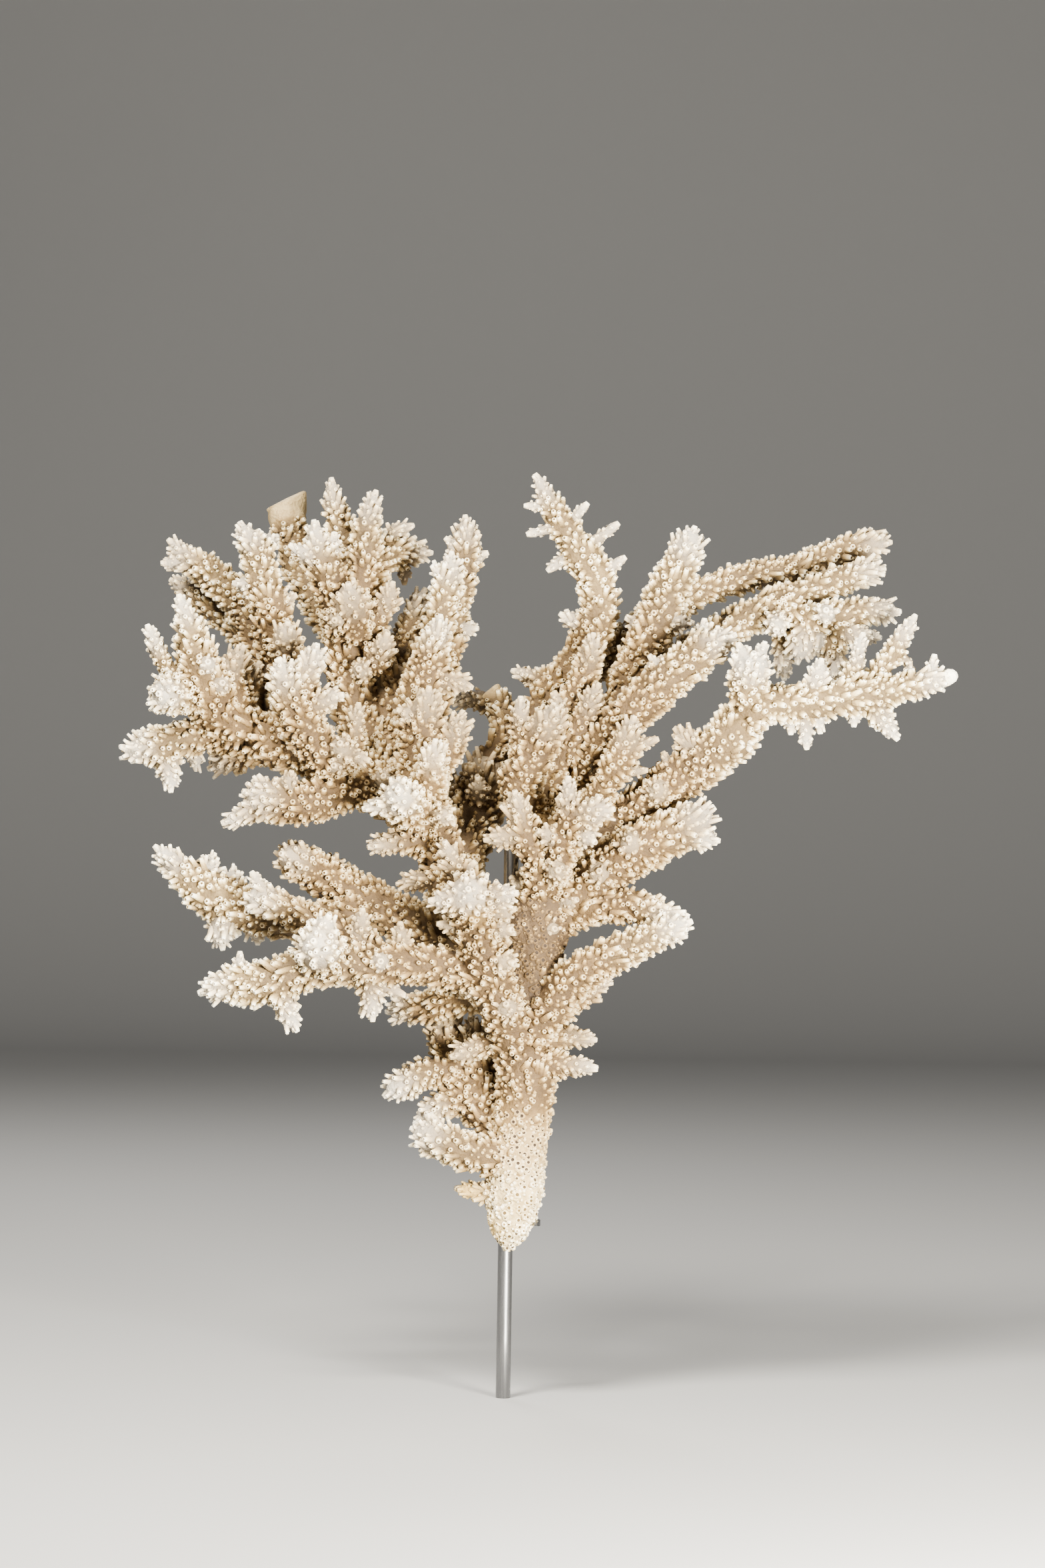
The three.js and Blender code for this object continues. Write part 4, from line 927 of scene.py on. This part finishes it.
def add_cups(surface, base, direction, radius, length, tone, tip_pale_and_highlight, brown, profile, lifts, sides=CUP_SIDES):
    """Adds many cups, pores or nubs of one profile. Only the rims vary in tone from one to the next."""
    if not len(base):
        return
    points = cup_points(base, direction, radius, length, profile, sides)
    per_cup = points.shape[1]
    rings = len(profile) - 1
    one = np.vstack([tube_faces(rings, sides), cap_faces((rings - 1) * sides, per_cup - 1, sides, True)])
    faces = (one[None] + np.arange(len(base))[:, None, None] * per_cup).reshape(-1, 3)
    lift = np.append(np.repeat(lifts[:rings], sides), lifts[rings])
    vary = rng.normal(0, CUP_LIFT_SPREAD, len(base))
    lift = (lift[None] + tone[:, None] + vary[:, None] * (lift[None] > RIM_LIFT)).reshape(-1)
    surface.add(points.reshape(-1, 3), faces, lift, np.repeat(tip_pale_and_highlight, per_cup), np.repeat(brown, per_cup))


def spiral(branch, cell_area):
    """Even places all over a branch: arc lengths and angles of a golden-angle spiral."""
    per_length = 2 * math.pi * branch.outer / cell_area
    places = np.concatenate([[0], np.cumsum((per_length[1:] + per_length[:-1]) / 2 * np.diff(branch.arc))])
    count = int(places[-1])
    wanted = np.arange(count) + rng.uniform(0, 1, count)
    arc = np.interp(wanted, places, branch.arc)
    angle = branch.phase + np.arange(count) * GOLDEN_ANGLE + rng.normal(0, SPIRAL_SPREAD, count)
    return arc, angle


def cup_frames(branch, arc, angle):
    """The outward direction, the surface normal and the tangent at places on a branch."""
    tangent = unit(branch.at(branch.tangents, arc))
    normal = unit(branch.at(branch.normals, arc))
    out = normal * np.cos(angle)[:, None] + np.cross(tangent, normal) * np.sin(angle)[:, None]
    return out, unit(out + tangent * branch.at(branch.slope, arc)[:, None]), tangent


def cup_directions(normal, tangent, near_tip):
    """Where cups point: out of the branch, leaning towards its tip, each a little astray."""
    count = len(near_tip)
    lean = CUP_LEAN + (TIP_LEAN - CUP_LEAN) * near_tip + rng.normal(0, LEAN_SPREAD, count)
    astray = rng.normal(0, CUP_STRAY, (count, 3))
    return unit(normal * np.cos(lean)[:, None] + tangent * np.sin(lean)[:, None] + astray)


def add_branch_cups(surface, branch, owner):
    """Cups of the full height, with small unripe ones between them."""
    arc, angle = spiral(branch, CELL_AREA)
    share = 1 if branch.broken else WORN_SHARE
    keep = rng.uniform(0, 1, len(arc)) >= branch.at(branch.worn, arc) * share
    arc, angle = arc[keep], angle[keep]
    out, normal, tangent = cup_frames(branch, arc, angle)
    body = branch.at(branch.body, arc)
    outer = branch.at(branch.outer, arc)
    worn = branch.at(branch.worn, arc)
    near_tip = tip_distance(branch, arc)
    direction = cup_directions(normal, tangent, near_tip)
    small = rng.uniform(0, 1, len(arc)) < SMALL_SHARE + WORN_SMALL_SHARE * worn
    scale = np.clip(np.sqrt(outer / FULL_CUPS_FROM), LEAST_CUP_SCALE, 1)
    reach = np.maximum(outer - body, LEAST_REACH) * (1 + WORN_STRETCH * worn)
    outward = np.maximum((direction * out).sum(axis=1), LEAST_OUTWARD)
    length = reach / outward * rng.uniform(*CUP_LENGTH, len(arc))
    length = np.where(small, length * rng.uniform(*SMALL_LENGTH, len(arc)), length)
    radius = np.where(small, rng.uniform(*SMALL_RADIUS, len(arc)), rng.uniform(*CUP_RADIUS, len(arc))) * scale
    base = branch.at(branch.path, arc) + out * (body - CUP_SUNK)[:, None]
    base = base - tangent * (length * CUP_SET_BACK)[:, None]
    base = base + out * body_height(base, owner, body, worn)[:, None]
    clear = depth_outside(base + direction * (0.65 * length)[:, None], owner) > BURIED
    big = clear & ~small
    small &= clear
    brown = branch.at(branch.brown, arc)
    tone = WORN_CUP_SHARE * worn_tone(branch, arc)
    for chosen, kind in ((big, (CUP_PROFILE, CUP_LIFT)), (small, (SMALL_PROFILE, SMALL_LIFT, SMALL_SIDES))):
        parts = (values[chosen] for values in (base, direction, radius, length, tone, near_tip, brown))
        add_cups(surface, *parts, *kind)


def worn_tone(branch, arc):
    """How much paler, or darker below 0, the worn surface makes whatever stands on it."""
    return (branch.worn_lift - WORN_LIFT_OFFSET) * branch.at(branch.worn, arc)


def leaning(normal, tangent, lean, stray):
    """Directions out of a surface that lean along the branch, each a little astray."""
    return unit(normal + lean * tangent + rng.normal(0, stray, (len(normal), 3)))


def on_body(branch, owner, arc, angle):
    """Places on the body's surface, the direction each faces, the tangent, and whether it is clear."""
    out, normal, tangent = cup_frames(branch, arc, angle)
    body = branch.at(branch.body, arc)
    base = branch.at(branch.path, arc) + out * body[:, None]
    base = base + out * body_height(base, owner, body, branch.at(branch.worn, arc))[:, None]
    return base, normal, tangent, depth_outside(base, owner) > BURIED


def add_pores(surface, branch, owner):
    """Low open pores where the surface is worn, though not on a break."""
    if branch.broken or not branch.worn.any():
        return
    arc, angle = spiral(branch, PORE_CELL_AREA)
    keep = rng.uniform(0, 1, len(arc)) < branch.at(branch.worn, arc)
    arc, angle = arc[keep], angle[keep]
    base, normal, tangent, clear = on_body(branch, owner, arc, angle)
    radius = PORE_RADIUS * rng.uniform(*PORE_WIDTH, len(base))
    height = rng.uniform(*PORE_HEIGHT, len(base))
    direction = leaning(normal, tangent, PORE_LEAN, PORE_STRAY)
    tone = worn_tone(branch, arc)
    values = (base, direction, radius, height, tone, np.zeros(len(base)), branch.at(branch.brown, arc))
    add_cups(surface, *(v[clear] for v in values), PORE_PROFILE, PORE_LIFT)


def add_nubs(surface, branch, owner):
    """The grain of the body between the cups: small rounded points, closer together where it is worn."""
    cell_area = NUB_CELL_AREA + (WORN_NUB_CELL_AREA - NUB_CELL_AREA) * branch.worn
    arc, angle = spiral(branch, cell_area)
    base, normal, tangent, clear = on_body(branch, owner, arc, angle + NUB_TURN)
    if branch.broken:
        clear &= rng.uniform(0, 1, len(arc)) > branch.at(branch.worn, arc)
    radius = rng.uniform(*NUB_RADIUS, len(base))
    height = rng.uniform(*NUB_HEIGHT, len(base))
    direction = leaning(normal, tangent, NUB_LEAN, NUB_STRAY)
    tone = worn_tone(branch, arc)
    near_tip = tip_distance(branch, arc)
    values = (base, direction, radius, height, tone, near_tip, branch.at(branch.brown, arc))
    add_cups(surface, *(v[clear] for v in values), NUB_PROFILE, NUB_LIFT, NUB_SIDES)


def add_bulb(surface, branch):
    """The smooth white knob that one limb ends in."""
    direction = branch.tangents[-1:]
    size = np.array([BULB_RADIUS])
    base = branch.path[-1:] - direction * BULB_RADIUS * 0.5
    tones = (np.zeros(1), np.ones(1), np.zeros(1))
    add_cups(surface, base, direction, size, size * BULB_STRETCH, *tones, BULB_PROFILE, BULB_LIFT, BULB_SIDES)


def add_axial_cup(surface, branch, owner):
    """The larger cup at a growing tip."""
    if not branch.free:
        return
    direction = branch.tangents[-1:]
    base = branch.path[-1:] - direction * AXIAL_LENGTH * 0.5
    if depth_outside(base + direction * 2, owner)[0] < BURIED:
        return
    radius = np.array([min(AXIAL_RADIUS, max(AXIAL_LEAST_RADIUS, branch.outer[-1] * AXIAL_SHARE))])
    length = np.array([AXIAL_LENGTH])
    tones = (np.zeros(1), np.ones(1), branch.brown[-1:])
    add_cups(surface, base, direction, radius, length, *tones, CUP_PROFILE, CUP_LIFT)


def colour_mix(nodes, links, factor, low, high, blend="MIX"):
    """The output of a node that mixes two colours, each given as a colour or as a socket."""
    mix = nodes.new("ShaderNodeMix")
    mix.data_type = "RGBA"
    mix.blend_type = blend
    links.new(factor, mix.inputs["Factor"])
    for socket, value in (("A", low), ("B", high)):
        target = [s for s in mix.inputs if s.name == socket and s.type == "RGBA"][0]
        if isinstance(value, tuple):
            target.default_value = value
        else:
            links.new(value, target)
    return [s for s in mix.outputs if s.type == "RGBA"][0]


def math_node(nodes, links, operation, *values):
    """The output of a node that calculates with numbers or sockets."""
    node = nodes.new("ShaderNodeMath")
    node.operation = operation
    for k, value in enumerate(values):
        if isinstance(value, (int, float)):
            node.inputs[k].default_value = value
        else:
            links.new(value, node.inputs[k])
    return node.outputs[0]


def new_material(name):
    """A material, its nodes, its links and its main shader."""
    material = bpy.data.materials.new(name)
    material.use_nodes = True
    nodes = material.node_tree.nodes
    return material, nodes, material.node_tree.links, nodes["Principled BSDF"]


def noise(nodes, links, scale, detail, coordinates):
    """The output of a noise texture."""
    node = nodes.new("ShaderNodeTexNoise")
    node.inputs["Scale"].default_value = scale
    node.inputs["Detail"].default_value = detail
    links.new(coordinates, node.inputs["Vector"])
    return node.outputs[0]


# Coral tones from the darkest hollows up to the palest rims, by their place on the ramp; the dark end is
# painted shade in hollows, holes and pores
DARKEST = (0.03, 0.017, 0.007, 1)
CORAL_TONES = (
    (0.16, (0.05, 0.03, 0.012, 1)),
    (0.34, (0.12, 0.08, 0.034, 1)),
    (0.58, (0.32, 0.23, 0.105, 1)),
    (0.78, (0.68, 0.57, 0.34, 1)),
)
PALEST = (0.98, 0.95, 0.82, 1)
LOWEST_LIFT = -0.4
LIFT_SPAN = 1.4

# The tones that tips, crowded stretches and stains take on, and how much of the first two. The pale of the
# tips is partly painted highlight, and the brown of crowded and rear stretches is painted shade.
TIP_TONE = (0.96, 0.93, 0.85, 1)
TIP_SHARE = 0.3
PAINTED_SHADE_TONE = (0.47, 0.375, 0.245, 1)
PAINTED_SHADE_SHARE = 0.9
STAIN_TONE = (0.40, 0.25, 0.05, 1)


def coral_colour(nodes, links, values, broad, fine):
    """A ramp of tones by lift, with painted shade in the hollows, made paler at the tips, partly as painted
    highlight, browner with painted shade where it is crowded or at the rear, and stained.
    """
    uneven = math_node(nodes, links, "MULTIPLY_ADD", broad, 0.5, -0.25)
    speckle = math_node(nodes, links, "MULTIPLY_ADD", fine, 0.24, -0.12)
    lift = math_node(nodes, links, "ADD", values["lift"], math_node(nodes, links, "ADD", uneven, speckle))
    lift = math_node(nodes, links, "MULTIPLY_ADD", lift, 1 / LIFT_SPAN, -LOWEST_LIFT / LIFT_SPAN)
    ramp = nodes.new("ShaderNodeValToRGB")
    stops = ramp.color_ramp.elements
    stops[0].color = DARKEST
    stops[1].color = PALEST
    for position, colour in CORAL_TONES:
        stops.new(position).color = colour
    links.new(lift, ramp.inputs[0])
    # The tips are paler: partly the coral's own whiter growing tips, partly painted highlight.
    tip_pale_and_highlight = math_node(nodes, links, "MULTIPLY", values["tip_pale_and_highlight"], TIP_SHARE)
    paled = colour_mix(nodes, links, tip_pale_and_highlight, ramp.outputs[0], TIP_TONE)
    # Painted shade is multiplied in where a stretch is crowded or lies at the rear.
    brown = math_node(nodes, links, "MULTIPLY", values["brown"], PAINTED_SHADE_SHARE)
    browned = colour_mix(nodes, links, brown, paled, PAINTED_SHADE_TONE, "MULTIPLY")
    return colour_mix(nodes, links, values["stain"], browned, STAIN_TONE)


def coral_material():
    """Bleached coral: tan between the cups, darkened there and in the holes with painted shade, cream on
    their sides, near white at rims and tips, the tips partly as painted highlight.
    """
    material, nodes, links, shader = new_material("bleached_coral")
    coordinates = nodes.new("ShaderNodeTexCoord").outputs["Object"]
    values = {}
    for key in ("lift", "tip_pale_and_highlight", "stain", "brown"):
        attribute = nodes.new("ShaderNodeAttribute")
        attribute.attribute_name = key
        values[key] = attribute.outputs["Fac"]
    broad = noise(nodes, links, 45, 3, coordinates)
    fine = noise(nodes, links, 1100, 4, coordinates)
    links.new(coral_colour(nodes, links, values, broad, fine), shader.inputs["Base Color"])
    shader.inputs["Roughness"].default_value = 0.78
    shader.inputs["Specular IOR Level"].default_value = 0.35
    shader.inputs["Subsurface Weight"].default_value = 0.08
    shader.inputs["Subsurface Radius"].default_value = (1.0, 0.75, 0.45)
    shader.inputs["Subsurface Scale"].default_value = 0.0012
    bump = nodes.new("ShaderNodeBump")
    bump.inputs["Strength"].default_value = 0.9
    bump.inputs["Distance"].default_value = 0.0006
    links.new(fine, bump.inputs["Height"])
    links.new(bump.outputs[0], shader.inputs["Normal"])
    return material


def steel_material():
    """Dark polished steel with faint lengthwise grain."""
    material, nodes, links, shader = new_material("dark_steel")
    coordinates = nodes.new("ShaderNodeTexCoord").outputs["Object"]
    stretch = nodes.new("ShaderNodeMapping")
    stretch.inputs["Scale"].default_value = (1, 1, 0.04)
    links.new(coordinates, stretch.inputs["Vector"])
    grain = noise(nodes, links, 2200, 3, stretch.outputs[0])
    tone = colour_mix(nodes, links, grain, (0.15, 0.15, 0.155, 1), (0.27, 0.27, 0.275, 1))
    links.new(tone, shader.inputs["Base Color"])
    shader.inputs["Metallic"].default_value = 1.0
    rough = math_node(nodes, links, "MULTIPLY_ADD", grain, 0.14, 0.2)
    links.new(rough, shader.inputs["Roughness"])
    return material


def plain_material(name, colour, roughness):
    """A material of one colour."""
    material, _, _, shader = new_material(name)
    shader.inputs["Base Color"].default_value = colour
    shader.inputs["Roughness"].default_value = roughness
    return material


def finish_piece(piece, node):
    """Hangs a piece on the root body and hides the CAD part that it stands in for."""
    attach(piece, "root")
    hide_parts(node)


def make_coral(material):
    """Every limb as one piece."""
    round_ends()
    find_brownness()
    for limb in LIMBS:
        surface = Surface()
        for owner, branch in enumerate(branches):
            if branch.limb != limb:
                continue
            add_body(surface, branch, owner)
            add_branch_cups(surface, branch, owner)
            add_pores(surface, branch, owner)
            add_nubs(surface, branch, owner)
            if branch.is_stem and limb == BULB_LIMB:
                add_bulb(surface, branch)
            else:
                add_axial_cup(surface, branch, owner)
        finish_piece(surface.build("coral_" + limb, material), limb)


def add_tube(surface, path, radii, sides):
    """A closed round tube along a path."""
    _, normals, binormals = frames_along(path)
    out = directions_around(normals, binormals, sides)
    rings = (path[:, None] + out * radii[:, None, None]).reshape(-1, 3)
    points = np.vstack([rings, path[0], path[-1]])
    surface.add(points, closed_tube_faces(len(path), sides), *np.zeros((3, len(points))))


def make_post(material):
    """The round rod, with a rounded upper edge that the coral hides."""
    surface = Surface()
    edge = POST_CHAMFER * np.array(CHAMFER_SHARES)
    shaft = np.linspace(20, POST_HEIGHT - 12, 10)
    heights = np.concatenate([[0, FOOT_BEVEL_UP], shaft, POST_HEIGHT - edge])
    full = np.full(len(shaft) + 1, POST_RADIUS)
    radii = np.concatenate([[POST_RADIUS - FOOT_BEVEL_IN], full, POST_RADIUS - edge[::-1]])
    path = np.stack([np.zeros_like(heights), np.zeros_like(heights), heights], axis=1)
    add_tube(surface, path, radii, POST_SIDES)
    finish_piece(surface.build("steel_post", material), "post")


def make_prong(material):
    """The thin upright that rises behind the coral, from the rod's surface to its rounded tip."""
    surface = Surface()
    path, _, _ = smooth_path(PRONG_ROUTE, 1.0)
    path = path[np.hypot(path[:, 0], path[:, 1]) > POST_RADIUS]
    radii = np.full(len(path), PRONG_RADIUS)
    radii[-3:] = PRONG_TIP_RADIUS * np.array(PRONG_TIP_SHARES)
    add_tube(surface, path, radii, PRONG_SIDES)
    finish_piece(surface.build("steel_prong", material), "support_prong")


def make_clip(material):
    """A flat finger with a rounded tip, bent round the lower end of the coral."""
    surface = Surface()
    back = POST_RADIUS + GAP + CLIP_WALL + CLIP_RADIUS
    turn = np.radians(np.linspace(*CLIP_DEGREES, CLIP_STEPS))
    half = CLIP_HEIGHT / 2 * np.ones(CLIP_STEPS)
    half[:4] = CLIP_HEIGHT / 2 * np.array(CLIP_END_SHARES)
    half[-4:] = half[3::-1]
    out = np.stack([np.cos(turn), np.sin(turn), np.zeros(CLIP_STEPS)], axis=1)
    centre = np.array([CLIP_ACROSS, -back, CLIP_UP])
    outer = CLIP_RADIUS + CLIP_WALL
    corners = ((CLIP_RADIUS, -1), (outer, -1), (outer, 1), (CLIP_RADIUS, 1))
    rings = [centre + out * r + np.outer(half * s, (0, 0, 1)) for r, s in corners]
    points = np.stack(rings, axis=1).reshape(-1, 3)
    points = np.vstack([points, points[:4].mean(axis=0), points[-4:].mean(axis=0)])
    faces = closed_tube_faces(CLIP_STEPS, len(corners))[:, ::-1]
    surface.add(points, faces, *np.zeros((3, len(points))))
    piece = surface.build("steel_clip", material)
    piece.data.shade_flat()
    finish_piece(piece, "lower_clip")


def make_floor():
    """A plain pale floor that sweeps up into a backdrop."""
    profile = [(FLOOR_FRONT, 0.0), (BEND_START, 0.0)]
    for k in range(1, BEND_STEPS + 1):
        angle = math.pi / 2 * k / BEND_STEPS
        profile.append((BEND_START + BEND_RADIUS * math.sin(angle), BEND_RADIUS * (1 - math.cos(angle))))
    profile.append((BEND_START + BEND_RADIUS, BACKDROP_HEIGHT))
    points = [(x, y, z - FLOOR_DROP) for y, z in profile for x in (-FLOOR_HALF_WIDTH, FLOOR_HALF_WIDTH)]
    faces = [(2 * k, 2 * k + 1, 2 * k + 3, 2 * k + 2) for k in range(len(profile) - 1)]
    mesh = bpy.data.meshes.new("floor_sweep")
    mesh.from_pydata(points, [], faces)
    mesh.shade_smooth()
    mesh.materials.append(plain_material("pale_floor", FLOOR_COLOUR, FLOOR_ROUGHNESS))
    floor = bpy.data.objects.new("floor_sweep", mesh)
    bpy.context.scene.collection.objects.link(floor)


def area_light(name, position, target, size, power, colour):
    """A round light that faces its target."""
    data = bpy.data.lights.new(name, "AREA")
    data.shape = "DISK"
    data.size = size
    data.energy = power
    data.color = colour
    light = bpy.data.objects.new(name, data)
    light.location = position
    aim = Vector(target) - Vector(position)
    light.rotation_euler = aim.to_track_quat("-Z", "Y").to_euler()
    bpy.context.scene.collection.objects.link(light)


def make_lights():
    """The lights and a faint even light from all round."""
    for light in LIGHTS:
        area_light(*light)
    world = bpy.data.worlds.new("studio")
    world.use_nodes = True
    background = world.node_tree.nodes["Background"]
    background.inputs["Color"].default_value = WORLD_COLOUR
    background.inputs["Strength"].default_value = WORLD_STRENGTH
    bpy.context.scene.world = world


def make_camera():
    """A level camera in front of the coral, rolled a little as the photograph is."""
    data = bpy.data.cameras.new("camera")
    data.lens = FOCAL_LENGTH
    data.sensor_width = 36
    data.clip_start = 0.05
    data.clip_end = 20
    camera = bpy.data.objects.new("camera", data)
    c, s = math.cos(CAMERA_ROLL), math.sin(CAMERA_ROLL)
    x, y, z = EYE_ACROSS * MM, -EYE_DISTANCE * MM, EYE_UP * MM
    camera.matrix_world = Matrix(((c, -s, 0, x), (0, 0, -1, y), (s, c, 0, z), (0, 0, 0, 1)))
    bpy.context.scene.collection.objects.link(camera)
    bpy.context.scene.camera = camera


make_camera()
make_lights()
make_floor()
make_coral(coral_material())
steel = steel_material()
make_post(steel)
make_prong(steel)
make_clip(steel)
